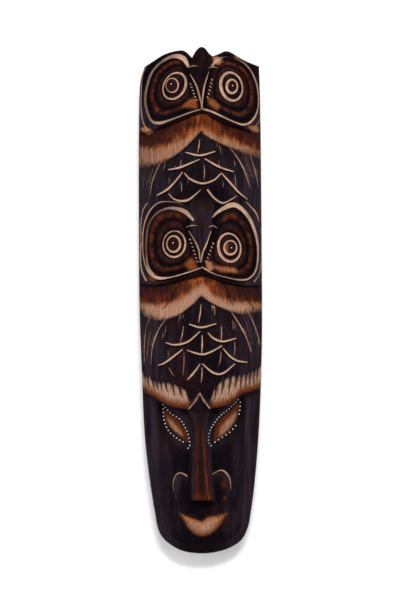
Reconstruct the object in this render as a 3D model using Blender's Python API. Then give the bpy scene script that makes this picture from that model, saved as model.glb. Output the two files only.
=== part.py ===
"""A tall wooden wall mask: two owls, one above the other, over a long-nosed face.

One log half carved in relief and hollowed behind, in metres. It stands upright as it hangs:
the carving looks toward -Y, the flat back lies in the plane y = 0, and the origin is the
place on the back where it rests on the wall, just under the hole for the nail.
"""

import math

import bpy
import numpy as np
from mathutils import Vector
from mathutils.geometry import delaunay_2d_cdt
from mathutils.kdtree import KDTree

# Driving sizes, in metres
HEIGHT = 0.500
WIDTH = 0.122
FRONT_DEPTH = 0.031
SIDE_DEPTH = 0.018
RIM_WIDTH = 0.013
HOLLOW_DEPTH = 0.012
HOLE_DIAMETER = 0.008
HOLE_DEPTH = 0.010

# The drawing of the front: steps to the right of the centre line and up from the chin
DRAWING_HEIGHT = 505
DRAWING_WIDTH = 123
ORIGIN_UP = 462
HOLE_UP = 474
HOLLOW_TOP = 440
STEP_X = WIDTH / DRAWING_WIDTH
STEP_Z = HEIGHT / DRAWING_HEIGHT

# Depths of the carving, as shares of the depth of the front
FACET_DROP = 0.16 * FRONT_DEPTH
CHIN_DROP = 0.24 * FRONT_DEPTH
CHIN_BEVEL = 0.12 * FRONT_DEPTH
DISC_RISE = 0.065 * FRONT_DEPTH
RIDGE_RISE = 0.022 * FRONT_DEPTH
EYE_RISE = 0.085 * FRONT_DEPTH
PUPIL_RISE = 0.035 * FRONT_DEPTH
BEAK_STEP = 0.08 * FRONT_DEPTH
BEAK_RISE = 0.11 * FRONT_DEPTH
BAND_SINK = 0.15 * FRONT_DEPTH
BAND_CREST = 0.04 * FRONT_DEPTH
NOTCH_DROP = 0.085 * FRONT_DEPTH
BREAST_RISE = 0.05 * FRONT_DEPTH
LIP_OF_SCALE = 0.05 * FRONT_DEPTH
UNDER_SCALE = 0.05 * FRONT_DEPTH
FRINGE_RISE = 0.11 * FRONT_DEPTH
FACE_SINK = 0.13 * FRONT_DEPTH
SOCKET_SINK = 0.10 * FRONT_DEPTH
EYEBALL_RISE = 0.08 * FRONT_DEPTH
NOSE_RISE = 0.42 * FRONT_DEPTH
WING_RISE = 0.13 * FRONT_DEPTH
LIP_RISE = 0.15 * FRONT_DEPTH
MOUTH_RISE = 0.07 * FRONT_DEPTH

# Widths of the carving, in steps of the drawing
STEP_RUN = 1.4
FACET_AT = 44
FACET_END = 62
CHIN_BEVEL_WIDTH = 7
EDGE_FADE = 6
BEAK_2_FADE = 28
HOLLOW_SLOPE = 9
ROW_SPACING = 4.2
FILL_SPACING = 6.6
SNAP = 0.8
EDGE_CLEARANCE = 1.6

# The outline, each span smooth and the spans meeting at corners
CREST_RIGHT = [(1, 505), (4.5, 503), (7.5, 499), (11.5, 495.7)]
LOBE_RIGHT = [(11.5, 495.7), (18, 498.5), (27, 501), (44, 492), (58, 487)]
SIDES_AND_CHIN = [(58, 487), (59, 453), (60, 380), (61, 243), (60.2, 183), (57.8, 123), (53.8, 73),
                  (49.8, 41), (46.5, 25), (39.5, 12.5), (25, 4), (5, 0), (-17, 2), (-33, 10.5),
                  (-42, 22), (-46.4, 43), (-52, 79), (-56.7, 123), (-59.2, 181), (-61.5, 243),
                  (-62.2, 323), (-62.2, 413), (-61, 468), (-56.5, 486.5)]
LOBE_LEFT = [(-56.5, 486.5), (-48, 491.5), (-35, 498.8), (-20, 502), (-14, 499.5), (-9, 494.3)]
CREST_LEFT = [(-9, 494.3), (-5.5, 500.5), (-2, 504.2), (1, 505)]

# The beaks, from the forehead to the tip
BEAK_1_LEFT = [(-9, 494.3), (-11.5, 487), (-10.3, 476.5), (-5.5, 468), (-1.5, 459), (0.3, 451), (1, 443)]
BEAK_1_RIGHT = [(11.5, 495.7), (10, 487), (7.7, 478.5), (5.3, 470), (3.2, 461), (1.8, 452), (1, 443)]
BEAK_2_LEFT = [(-9, 356), (-9.3, 336), (-10.8, 328), (-9.8, 320), (-6.5, 314), (-2.5, 305), (0, 295),
               (1, 285)]
BEAK_2_RIGHT = [(11, 356), (10.7, 336), (11.6, 328), (10.5, 320), (7.5, 313), (4.5, 304), (2.3, 295),
                (1, 285)]

# The discs round the owls' eyes, each from the brow over the top and round to the tip of the beak
DISC_1_LEFT = [(-11.5, 487), (-15.5, 495.3), (-24, 498), (-33, 495.5), (-45, 487), (-53, 474),
               (-57, 452), (-51.5, 433), (-43, 428), (-31, 431.5), (-11, 439), (1, 443)]
DISC_1_RIGHT = [(10, 487), (15.5, 493.5), (26, 495.5), (41, 491), (51, 481), (57, 465), (57.5, 445),
                (52, 432), (43, 427), (31, 430.5), (12, 439), (1, 443)]
DISC_2_LEFT = [(-9.3, 336), (-14, 344.5), (-24, 350.7), (-41, 351.2), (-52, 342), (-58, 325),
               (-58.5, 300), (-54, 282), (-44, 274), (-31, 275), (-13, 280), (1, 285)]
DISC_2_RIGHT = [(10.7, 336), (17, 343), (30.5, 350.5), (41, 346), (51.5, 332), (57.5, 310),
                (56.5, 286), (49, 274.5), (38, 272.5), (23, 275.7), (12, 279), (1, 285)]

# Their eyes and pupils: centre, half width, half height and lean to the right in degrees
EYE_1_LEFT = (-26.5, 466.5, 10.5, 13.8, 30)
EYE_1_RIGHT = (30.3, 466, 10.6, 14.1, -15)
EYE_2_LEFT = (-26.7, 309.1, 11, 13, 6)
EYE_2_RIGHT = (28.3, 305.6, 11, 14, -12)
PUPIL_1_LEFT = (-28.8, 467, 6.1, 7, 0)
PUPIL_1_RIGHT = (30.8, 466, 5.3, 6.7, 0)
PUPIL_2_LEFT = (-27.4, 309.1, 6.6, 7.9, 0)
PUPIL_2_RIGHT = (29.2, 305.5, 6.2, 6.8, 0)
OWL_EYES = [(DISC_1_LEFT, BEAK_1_LEFT, EYE_1_LEFT, PUPIL_1_LEFT),
            (DISC_1_RIGHT, BEAK_1_RIGHT, EYE_1_RIGHT, PUPIL_1_RIGHT),
            (DISC_2_LEFT, BEAK_2_LEFT, EYE_2_LEFT, PUPIL_2_LEFT),
            (DISC_2_RIGHT, BEAK_2_RIGHT, EYE_2_RIGHT, PUPIL_2_RIGHT)]
RIDGE_SHARES = (0.2, 0.4, 0.6, 0.8)

# The bands under the owls' heads: top edge, crest, and the bottom edge on each side of its notch
BAND_1_TOP = [(-62, 420), (-41, 425.5), (-21, 433), (1, 441), (12, 436), (31, 427.5), (61, 420.5)]
BAND_1_CREST = [(-62, 411), (-43, 408.5), (-16, 418.5), (0, 427), (17, 419), (39, 410), (61, 402)]
BAND_1_LEFT = [(-62, 389.5), (-51, 389.5), (-31, 395), (-13, 407.5), (0.5, 422)]
BAND_1_RIGHT = [(0.5, 422), (6, 416.3), (24, 407.5), (47, 400.5), (61, 397.5)]
BAND_2_TOP = [(-62, 270), (-45, 269), (-29, 271.5), (1, 278.5), (19, 273.5), (40, 268.5), (61, 268)]
BAND_2_CREST = [(-62, 254), (-39, 252), (-20, 257.5), (0, 271), (12, 262), (31, 254.5), (61, 253)]
BAND_2_LEFT = [(-62, 247), (-55, 239.5), (-41, 235), (-24, 238.2), (-10, 248), (0, 258)]
BAND_2_RIGHT = [(0, 258), (10, 251), (24, 244.5), (40, 241.3), (61, 245.5)]
BANDS = [(BAND_1_TOP, BAND_1_CREST, BAND_1_LEFT, BAND_1_RIGHT),
         (BAND_2_TOP, BAND_2_CREST, BAND_2_LEFT, BAND_2_RIGHT)]

# The lips of the feather scales, each drawn from left to right
SCALES = [
    [(-15.5, 399.6), (-1, 396.5), (14, 400.5)],
    [(-32.5, 382.5), (-21, 384.5), (-1.5, 392.5)],
    [(3.5, 393.3), (18, 385), (32, 380.5)],
    [(-43.5, 357), (-33, 363), (-25, 371), (-18, 380)],
    [(-17, 379), (-11, 373), (1, 368.5), (13, 372), (20, 378.5)],
    [(20, 379), (28, 370), (36, 361), (45.5, 353.5)],
    [(-12, 228.5), (0, 225.3), (15, 229)],
    [(-35, 210), (-26, 208), (-13, 211), (-0.5, 221.5)],
    [(6.5, 220), (12, 214.5), (22, 211.3), (35, 214.5)],
    [(-42.5, 187.5), (-35, 190.5), (-18, 203.5)],
    [(-14, 202.5), (0, 198.5), (10, 201), (21, 207)],
    [(21.5, 204.5), (28, 197), (36, 192), (46, 190.5)],
    [(-13, 173.5), (-7, 180), (-0.5, 189)],
    [(1, 189), (12, 180.2), (22, 179.7), (34, 189)],
]

# The fringe over the face, from the left side to the right, dipping round the forehead
FRINGE_TOP = [(-62, 184), (-45, 172.5), (-29, 169.5), (-17, 164), (-11, 153), (-1.3, 163), (8, 154),
              (15, 167), (27, 175.5), (45, 180), (61, 188)]
FRINGE_LEFT = [(-62, 164), (-49, 157.5), (-31, 147.5), (-12, 144.5)]
FOREHEAD = [(-12, 144.5), (-1.3, 159.7), (8.5, 145)]
FRINGE_RIGHT = [(8.5, 145), (27, 149), (40, 159), (49, 161.5), (61, 166)]

# The face
EYE_LEFT_UPPER = [(-36.5, 143), (-24, 132), (-15.5, 121), (-14, 112.5)]
EYE_LEFT_LOWER = [(-14, 112.5), (-27.5, 123), (-34, 133), (-36.5, 143)]
EYE_RIGHT_UPPER = [(14, 112.5), (15.5, 125), (22, 134.5), (37, 148.5)]
EYE_RIGHT_LOWER = [(37, 148.5), (34.5, 134), (26, 122), (14, 112.5)]
NOSE_ROOT_LEFT = [(-1.3, 159.7), (-6.7, 151.5), (-12, 144.5)]
NOSE_LEFT = [(-12, 144.5), (-7.8, 139), (-6.3, 131), (-8.7, 100), (-9.2, 73), (-8.5, 54)]
NOSE_RIGHT = [(11.5, 54), (10, 73), (8, 100), (4.8, 131), (5.6, 139), (8.5, 145)]
NOSE_ROOT_RIGHT = [(8.5, 145), (3.5, 152), (-1.3, 159.7)]
NOSTRILS = [(-18.5, 69, 9.2, 11.5), (19.5, 70, 9.8, 13)]
NOSTRIL_TAIL = 1.7
MOUTH_SWELL = (2, 33, 36, 24, 0)
SEAM_LEFT = [(-21, 41), (-14.3, 38.3), (-5.2, 35.2), (0.7, 33)]
SEAM_RIGHT = [(0.7, 33), (4.8, 36.2), (9.5, 38), (17.3, 39), (26, 40.5)]
LOWER_LIP = [(26, 40.5), (17, 27), (7, 19), (-4, 19), (-13.5, 27), (-21, 41)]
UPPER_LIP = [(26, 41.5), (9, 41), (0, 36), (-9, 41), (-21, 41.5)]


def ramp(value, low, high):
    return np.clip((value - low) / (high - low), 0, 1)


def ease(value, low, high):
    share = ramp(value, low, high)
    return share * share * (3 - 2 * share)


def smooth(control, spacing=ROW_SPACING):
    """Points about one spacing apart on a smooth curve through the control points."""
    given = np.array(control, float)
    ends = np.vstack([2 * given[0] - given[1], given, 2 * given[-1] - given[-2]])
    curve = []
    for before, start, end, after in zip(ends, ends[1:], ends[2:], ends[3:]):
        pieces = max(1, round(np.linalg.norm(end - start) / spacing))
        for piece in range(pieces):
            t = piece / pieces
            bend = 2 * before - 5 * start + 4 * end - after
            turn = 3 * start - before - 3 * end + after
            curve.append(start + 0.5 * ((end - before) * t + bend * t**2 + turn * t**3))
    curve.append(given[-1])
    return np.array(curve)


def joined(*spans):
    """Smooth spans one after another, a corner where two meet."""
    parts = [smooth(span)[:-1] for span in spans[:-1]]
    return np.vstack(parts + [smooth(spans[-1])])


def joined_loop(*spans):
    return joined(*spans)[:-1]


def ellipse_axes(lean):
    angle = math.radians(lean)
    return np.array([[math.cos(angle), math.sin(angle)], [-math.sin(angle), math.cos(angle)]])


def ellipse(shape):
    """A closed ring from a centre, half width, half height and lean."""
    across, up, half_width, half_height, lean = shape
    count = round(math.pi * (half_width + half_height) / ROW_SPACING)
    turn = np.linspace(0, 2 * math.pi, count, endpoint=False)
    flat = np.stack([half_width * np.cos(turn), half_height * np.sin(turn)], axis=1)
    return flat @ ellipse_axes(lean).T + (across, up)


def ellipse_share(spots, shape):
    """0 at the middle of the ellipse and 1 on its edge."""
    across, up, half_width, half_height, lean = shape
    flat = (spots - (across, up)) @ ellipse_axes(lean)
    return np.hypot(flat[:, 0] / half_width, flat[:, 1] / half_height)


def nearest_on(spots, line):
    """For each spot its distance to the line, + on the left of its way, and the share of the way."""
    start, way = line[:-1], np.diff(line, axis=0)
    length = np.linalg.norm(way, axis=1)
    offset = spots[:, None] - start
    share = np.clip((offset * way).sum(2) / length**2, 0, 1)
    away = offset - share[..., None] * way
    distance = np.linalg.norm(away, axis=2)
    best = distance.argmin(axis=1)
    row = np.arange(len(spots))
    side = way[best, 0] * offset[row, best, 1] - way[best, 1] * offset[row, best, 0]
    walked = np.concatenate([[0], np.cumsum(length)])
    along = (walked[best] + share[row, best] * length[best]) / walked[-1]
    return distance[row, best] * np.where(side < 0, -1, 1), along


def inside(spots, loop):
    x, z = spots[:, :1], spots[:, 1:]
    ax, az = loop.T
    bx, bz = np.roll(loop, -1, axis=0).T
    crossed = (az > z) != (bz > z)
    rise = np.where(bz == az, 1, bz - az)
    return (crossed & (x < ax + (z - az) / rise * (bx - ax))).sum(1) % 2 == 1


def depth_in_loop(spots, loop):
    """Distance to the loop, negative outside it."""
    distance, _ = nearest_on(spots, np.vstack([loop, loop[:1]]))
    return np.where(inside(spots, loop), 1, -1) * np.abs(distance)


def level(line, across):
    """How high a line from left to right lies at each place across."""
    return np.interp(across, line[:, 0], line[:, 1])


def across_at(line, up):
    """Where a line from top to bottom lies at each height."""
    return np.interp(up, line[::-1, 1], line[::-1, 0])


def beside(line, gap):
    """The line moved to its left by a gap."""
    way = np.gradient(line, axis=0)
    way /= np.linalg.norm(way, axis=1)[:, None]
    return line + gap * np.stack([-way[:, 1], way[:, 0]], axis=1)


def reach(directions, centre, loop):
    """How far a loop lies from a centre in each direction."""
    offset = loop - centre
    angles = np.arctan2(offset[:, 1], offset[:, 0])
    return np.interp(directions, angles, np.linalg.norm(offset, axis=1), period=2 * math.pi)


OUTLINE = joined_loop(CREST_RIGHT, LOBE_RIGHT, SIDES_AND_CHIN, LOBE_LEFT, CREST_LEFT)


def disc_loop(disc_points, beak_points):
    """The edge of a disc, closed along the side of the beak."""
    return joined_loop(disc_points, beak_points[:0:-1])


def log_front(spots, from_edge):
    """The plain front of the log half: arched across, with a flat down each side and a bevelled chin."""
    across, up = spots.T
    arch = 1 - np.clip(2 * np.abs(across) / DRAWING_WIDTH, 0, 1) ** 2.4
    depth = SIDE_DEPTH + (FRONT_DEPTH - SIDE_DEPTH) * arch
    depth -= FACET_DROP * ramp(np.abs(across), FACET_AT, FACET_END)
    depth -= CHIN_DROP * (1 - ramp(up, 0, 62)) ** 2
    depth -= CHIN_BEVEL * (1 - ramp(from_edge, 0, CHIN_BEVEL_WIDTH)) * (1 - ramp(up, 40, 110))
    return depth


def owl_eye(spots, disc_points, beak_points, eye, pupil):
    """A raised disc with rings round a domed eye."""
    centre = np.array(eye[:2])
    offset = spots - centre
    direction = np.arctan2(offset[:, 1], offset[:, 0])
    away = np.linalg.norm(offset, axis=1)
    disc = reach(direction, centre, disc_loop(disc_points, beak_points))
    ring = reach(direction, centre, ellipse(eye))
    from_beak, _ = nearest_on(spots, smooth(beak_points))
    from_beak = np.abs(from_beak)
    rise = DISC_RISE * ramp(disc - away, -STEP_RUN, 0) * ease(from_beak, 0, 11)
    share = np.clip((away - ring) / (disc - ring), 0, 1)
    in_disc = (away > ring) & (away < disc)
    rise -= in_disc * ramp(from_beak, 1, 9) * RIDGE_RISE * np.cos(5 * math.pi * share)
    rise += EYE_RISE * np.clip(1 - (away / ring) ** 2, 0, 1)
    rise += PUPIL_RISE * np.sqrt(np.clip(1 - ellipse_share(spots, pupil) ** 2, 0, 1))
    return rise


def beak(spots, left_points, right_points, fade_in):
    """A wedge down to the tip of the beak. It rises out of the forehead, or starts as the crest."""
    across, up = spots.T
    left, right = smooth(left_points), smooth(right_points)
    in_from_side = np.minimum(across - across_at(left, up), across_at(right, up) - across)
    above_tip = up > left[-1, 1] - 1
    fade = ease(left[0, 1] - up, 0, fade_in) if fade_in else 1
    return above_tip * fade * (BEAK_STEP * ramp(in_from_side, -STEP_RUN, 0)
                               + BEAK_RISE * ramp(in_from_side, 0, 9))


def band(spots, from_edge, top_points, left_points, right_points):
    """A collar that starts deep under the head, swells, and ends in a notch at the middle."""
    across, up = spots.T
    top = level(smooth(top_points), across)
    bottom = level(joined(left_points, right_points), across)
    share = (top - up) / (top - bottom)
    under_head = BAND_SINK * ramp(top - up, 0, STEP_RUN) * (1 - ease(share, 0, 0.6))
    under_head *= ramp(from_edge, 0, EDGE_FADE)
    swell = BAND_CREST * np.sin(math.pi * np.clip(share, 0, 1)) ** 0.7
    middle = 1 - ease(np.abs(across), 12, 44)
    below = bottom - up
    notch = NOTCH_DROP * middle * ramp(below, 0, STEP_RUN) * np.exp(-np.clip(below, 0, None) / 12)
    return swell - (up < top) * (up > bottom) * under_head - notch


def breast(spots):
    """The swelling of each breast, and its scales, each standing over the one below."""
    across, up = spots.T
    rise = np.zeros(len(spots))
    for top, bottom in ((415, 352), (250, 165)):
        height = np.sin(math.pi * ramp(up, bottom, top)) ** 0.6
        rise += BREAST_RISE * height * (1 - ease(np.abs(across), 8, 46))
    for points in SCALES:
        distance, along = nearest_on(spots, smooth(points))
        taper = np.sin(math.pi * along) ** 0.6
        over = LIP_OF_SCALE * (distance >= 0) * np.exp(-distance / 6)
        fall = UNDER_SCALE * ramp(-distance, 0, STEP_RUN) * np.exp(-np.clip(-distance, 0, None) / 3.5)
        lip = (distance < 0) * LIP_OF_SCALE * (1 - ramp(-distance, 0, STEP_RUN))
        rise += taper * (over + lip - fall)
    return rise


def fringe_and_brow(spots, from_edge):
    """The fringe swells to its lower edge, and the face lies deeper under it."""
    across, up = spots.T
    top = level(smooth(FRINGE_TOP), across)
    low = level(joined(FRINGE_LEFT, FOREHEAD, FRINGE_RIGHT), across)
    rise = FRINGE_RISE * ease(top - up, 0, 22) * ramp(up - low, -STEP_RUN, 0)
    face = FACE_SINK * ramp(low - up, 0, STEP_RUN) * (0.25 + 0.75 * ramp(up, 20, 120))
    return (rise - face) * (0.3 + 0.7 * ramp(from_edge, 0, EDGE_FADE))


def eye_of_face(spots, *spans):
    """A slanted almond in a soft hollow."""
    into = depth_in_loop(spots, joined_loop(*spans))
    hollow = SOCKET_SINK * np.exp(-(np.clip(-into, 0, None) / 7) ** 2)
    return EYEBALL_RISE * ramp(into, 0, 4.5) ** 0.6 - hollow


def nose_line():
    tip = [NOSE_LEFT[-1], NOSE_RIGHT[0]]
    return joined_loop(NOSE_ROOT_LEFT, NOSE_LEFT, tip, NOSE_RIGHT, NOSE_ROOT_RIGHT)


def nostril_rise(spots, wing):
    """A wing that is round above and runs out slowly below."""
    across, up, half_width, half_height = wing
    over = spots[:, 1] - up
    tall = np.where(over > 0, half_height, NOSTRIL_TAIL * half_height)
    share = np.hypot((spots[:, 0] - across) / half_width, over / tall)
    below = ramp(-over, 0, NOSTRIL_TAIL * half_height)
    return WING_RISE * np.sqrt(np.clip(1 - share**2, 0, 1)) * (1 - below) ** 1.5


def nose(spots):
    """A long ridge that stands further out toward its blunt tip, with a swollen wing at each side."""
    up = spots[:, 1]
    into = depth_in_loop(spots, nose_line())
    stand = (0.13 + 0.87 * ramp(140 - up, 0, 76) ** 0.8) * ramp(160 - up, 0, 18)
    rise = NOSE_RISE * stand * (0.88 * ramp(into, -2.2, 0.2) + 0.12 * ramp(into, 0, 5))
    for wing in NOSTRILS:
        rise = np.maximum(rise, nostril_rise(spots, wing))
    return rise


def mouth(spots):
    """A swelling round the mouth, a full lower lip and a thin upper one."""
    rise = MOUTH_RISE * np.clip(1 - ellipse_share(spots, MOUTH_SWELL) ** 2, 0, 1) ** 2
    lower = depth_in_loop(spots, joined_loop(SEAM_LEFT, SEAM_RIGHT, LOWER_LIP))
    upper = depth_in_loop(spots, joined_loop(SEAM_LEFT, SEAM_RIGHT, UPPER_LIP))
    rise += LIP_RISE * ramp(lower, 0, 6.5) ** 0.6
    rise += 0.4 * LIP_RISE * ramp(upper, 0, 1.5)
    return rise


def front_depth(spots):
    """How far the carved front stands from the back plane."""
    from_edge = np.clip(depth_in_loop(spots, OUTLINE), 0, None)
    depth = log_front(spots, from_edge)
    for disc, side, eye, pupil in OWL_EYES:
        depth += owl_eye(spots, disc, side, eye, pupil)
    depth += beak(spots, BEAK_1_LEFT, BEAK_1_RIGHT, 0)
    depth += beak(spots, BEAK_2_LEFT, BEAK_2_RIGHT, BEAK_2_FADE)
    for top, _, left, right in BANDS:
        depth += band(spots, from_edge, top, left, right)
    depth += breast(spots)
    depth += fringe_and_brow(spots, from_edge)
    depth += eye_of_face(spots, EYE_LEFT_UPPER, EYE_LEFT_LOWER)
    depth += eye_of_face(spots, EYE_RIGHT_UPPER, EYE_RIGHT_LOWER)
    depth += nose(spots)
    depth += mouth(spots)
    return depth


def resampled(line, count):
    """The same line with that many points."""
    share = np.linspace(0, len(line) - 1, count)
    return np.stack([np.interp(share, np.arange(len(line)), values) for values in line.T], axis=1)


def closed(loop):
    return np.vstack([loop, loop[:1]])


def disc_rows(disc_points, beak_points, eye):
    """The edge of the disc, its foot, and the tops and bottoms of its rings."""
    centre = np.array(eye[:2])
    ring = ellipse(eye)
    disc = disc_loop(disc_points, beak_points)
    direction = np.linspace(-math.pi, math.pi, round(2.6 * len(ring)), endpoint=False)
    unit = np.stack([np.cos(direction), np.sin(direction)], axis=1)
    near, far = reach(direction, centre, ring), reach(direction, centre, disc)
    rows = [closed(ring), closed(disc)]
    for share in RIDGE_SHARES:
        row = centre + unit * (near + share * (far - near))[:, None]
        turned = np.roll(row, -np.argmin(np.abs(row[:, 0])), axis=0)
        rows.append(turned[np.abs(turned[:, 0]) > 9])
    outer = smooth(disc_points)
    foot = outer + STEP_RUN * (outer - centre) / np.linalg.norm(outer - centre, axis=1)[:, None]
    return rows + [foot]


def front_rows():
    """Every line along which the carving turns."""
    rows = []
    for disc, side, eye, pupil in OWL_EYES:
        rows += disc_rows(disc, side, eye)
        rows.append(closed(ellipse(pupil)))
        rows.append(np.array([eye[:2]]))
    for left, right in ((BEAK_1_LEFT, BEAK_1_RIGHT), (BEAK_2_LEFT, BEAK_2_RIGHT)):
        rows += [smooth(left), smooth(right)]
        rows += [beside(smooth(left), -STEP_RUN)[1:-2], beside(smooth(right), STEP_RUN)[1:-2]]
        rows.append((smooth(left) + resampled(smooth(right), len(smooth(left)))) / 2)
    for top, crest, left, right in BANDS:
        edge = smooth(top)
        notch = joined(left, right)
        rows += [edge, beside(edge, -STEP_RUN), smooth(crest), notch, beside(notch, -STEP_RUN)]
    for points in SCALES:
        lip = smooth(points)
        rows += [lip, beside(lip, -STEP_RUN)]
    fringe = joined(FRINGE_LEFT, FOREHEAD, FRINGE_RIGHT)
    rows += [smooth(FRINGE_TOP), fringe, beside(fringe, -STEP_RUN)]
    for upper, lower in ((EYE_LEFT_UPPER, EYE_LEFT_LOWER), (EYE_RIGHT_UPPER, EYE_RIGHT_LOWER)):
        almond = closed(joined_loop(upper, lower))
        middle = (smooth(upper)[::-1] + resampled(smooth(lower), len(smooth(upper)))) / 2
        rows += [almond, middle[2:-2], beside(almond, -3.5), beside(almond, -8)]
    sides = closed(nose_line())
    rows += [sides, beside(sides, -2.2)]
    for across, up, half_width, half_height in NOSTRILS:
        rows.append(ellipse((across, up, half_width, half_height, 0)))
    rows += [smooth(line) for line in (SEAM_LEFT, SEAM_RIGHT, LOWER_LIP, UPPER_LIP)]
    rows += [beside(smooth(LOWER_LIP), gap) for gap in (-2.5, -6.5)]
    rows += [closed(ellipse(MOUTH_SWELL))]
    rows += [smooth([(side, 0), (side, DRAWING_HEIGHT)]) for side in (-FACET_AT, FACET_AT)]
    rows += [beside(closed(OUTLINE), -inset) for inset in (3, CHIN_BEVEL_WIDTH)]
    return rows


def well_inside(spots, clearance=EDGE_CLEARANCE):
    return depth_in_loop(spots, OUTLINE) > clearance


def runs_inside(row):
    """The stretches of a row that stay clear of the outline."""
    kept = well_inside(row)
    stretches = np.split(np.arange(len(row)), np.flatnonzero(np.diff(kept.astype(int))) + 1)
    return [row[stretch] for stretch in stretches if kept[stretch[0]]]


def fill_spots(spacing, taken):
    """An even spread of spots over the drawing, leaving out those near a row."""
    tree = KDTree(len(taken))
    for index, (across, up) in enumerate(taken):
        tree.insert((across, up, 0), index)
    tree.balance()
    found = []
    rows_up = spacing * math.sqrt(3) / 2
    for line in range(int(DRAWING_HEIGHT / rows_up) + 1):
        shift = spacing / 2 * (line % 2)
        for column in range(-int(DRAWING_WIDTH / spacing), int(DRAWING_WIDTH / spacing) + 1):
            spot = (column * spacing + shift, line * rows_up)
            if tree.find((*spot, 0))[2] > 0.6 * spacing:
                found.append(spot)
    found = np.array(found)
    return found[well_inside(found, 0.45 * spacing)]


def sheet(rows, spacing):
    """Triangles over the outline whose edges follow the rows. The outline's spots come first."""
    spots = [tuple(spot) for spot in OUTLINE]
    places = {}

    def spot_at(point):
        cell = (math.floor(point[0] / SNAP), math.floor(point[1] / SNAP))
        for near in ((a, b) for a in (-1, 0, 1) for b in (-1, 0, 1)):
            index = places.get((cell[0] + near[0], cell[1] + near[1]))
            if index is not None and math.dist(spots[index], point) < SNAP:
                return index
        places[cell] = len(spots)
        spots.append(tuple(point))
        return places[cell]

    edges = []
    for row in rows:
        for run in runs_inside(row):
            ids = [spot_at(point) for point in run]
            edges += [(a, b) for a, b in zip(ids, ids[1:]) if a != b]
    spots += [tuple(spot) for spot in fill_spots(spacing, spots)]
    loop = list(range(len(OUTLINE)))
    edges += list(zip(loop, loop[1:] + loop[:1]))
    made = delaunay_2d_cdt([Vector(spot) for spot in spots], edges, [], 0, 1e-5, True)
    flat = np.array([tuple(spot) for spot in made[0]])
    faces = np.array(made[2])
    faces = faces[inside(flat[faces].mean(axis=1), OUTLINE)]
    order = {}
    for index, sources in enumerate(made[3]):
        for source in sources:
            order.setdefault(source, index)
    return flat, [tuple(face) for face in faces.tolist()], [order[index] for index in loop]


def placed(spots, depth):
    across, up = spots.T
    return np.stack([across * STEP_X, -depth, (up - ORIGIN_UP) * STEP_Z], axis=1)


def hollow_loop(inset):
    """The line that far in from the edge of the hollow, straight across its top."""
    side = smooth(SIDES_AND_CHIN)
    line = beside(side, -(RIM_WIDTH / STEP_X + inset))
    line = line[line[:, 1] < HOLLOW_TOP - inset]
    first, last = line[0], line[-1]
    top = np.linspace((last[0], HOLLOW_TOP - inset), (first[0], HOLLOW_TOP - inset), 14)
    return np.vstack([line, top])


def back_depth(spots):
    into = depth_in_loop(spots, hollow_loop(0))
    return HOLLOW_DEPTH * np.sin(0.5 * math.pi * ramp(into, 0, HOLLOW_SLOPE))


def mask_mesh():
    """The carved front, the hollowed back and the edge between them."""
    front, front_faces, front_edge = sheet(front_rows(), FILL_SPACING)
    hollow = [closed(hollow_loop(inset)) for inset in (0, HOLLOW_SLOPE / 3, HOLLOW_SLOPE)]
    back, back_faces, back_edge = sheet(hollow, 2 * FILL_SPACING)
    vertices = np.vstack([placed(front, front_depth(front)), placed(back, back_depth(back))])
    offset = len(front)
    faces = list(front_faces)
    faces += [tuple(offset + index for index in reversed(face)) for face in back_faces]
    for a, b in zip(range(len(front_edge)), list(range(1, len(front_edge))) + [0]):
        faces.append((front_edge[a], front_edge[b], offset + back_edge[b], offset + back_edge[a]))
    mesh = bpy.data.meshes.new("mask")
    mesh.from_pydata([tuple(vertex) for vertex in vertices], [], faces)
    mesh.validate()
    return mesh


def facing_out(mesh):
    """Turns a closed mesh the right way round."""
    mesh.calc_loop_triangles()
    corners = np.array([[mesh.vertices[index].co for index in triangle.vertices]
                        for triangle in mesh.loop_triangles])
    if np.linalg.det(corners).sum() < 0:
        mesh.flip_normals()


def wood_material():
    material = bpy.data.materials.new("stained albesia wood")
    material.use_nodes = True
    shader = material.node_tree.nodes["Principled BSDF"]
    shader.inputs["Base Color"].default_value = (0.032, 0.018, 0.013, 1)
    shader.inputs["Roughness"].default_value = 0.45
    return material


def nail_hole_cutter(collection):
    """A cylinder that reaches into the back at the place for the nail."""
    bpy.ops.mesh.primitive_cylinder_add(vertices=24, radius=HOLE_DIAMETER / 2, depth=2 * HOLE_DEPTH,
                                        location=(0, 0, (HOLE_UP - ORIGIN_UP) * STEP_Z),
                                        rotation=(math.pi / 2, 0, 0))
    cutter = bpy.context.object
    cutter.name = "nail_hole_cutter"
    move_to(cutter, collection)
    cutter.display_type = "WIRE"
    cutter.hide_render = True
    return cutter


def move_to(thing, collection):
    for holder in list(thing.users_collection):
        holder.objects.unlink(thing)
    collection.objects.link(thing)


def new_collection(name):
    collection = bpy.data.collections.new(name)
    bpy.context.scene.collection.children.link(collection)
    return collection


def mask(collection, cutters):
    mesh = mask_mesh()
    facing_out(mesh)
    mesh.materials.append(wood_material())
    body = bpy.data.objects.new("mask", mesh)
    collection.objects.link(body)
    cut = body.modifiers.new("nail hole", "BOOLEAN")
    cut.operation = "DIFFERENCE"
    cut.solver = "EXACT"
    cut.object = nail_hole_cutter(cutters)
    return body


def main():
    for thing in list(bpy.data.objects):
        bpy.data.objects.remove(thing)
    mask(new_collection("wall mask"), new_collection("cutters"))


main()
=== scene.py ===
"""The finished look of a wooden wall mask: two owls over a long-nosed face.

The carving is one log half. Its front is drawn in steps to the right of the centre line and up
from the chin, and every gouge stroke, painted edge and dot is set out in that drawing.
"""

import math

import bpy
import numpy as np
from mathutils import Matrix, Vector, noise
from mathutils.geometry import delaunay_2d_cdt
from mathutils.kdtree import KDTree


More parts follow.
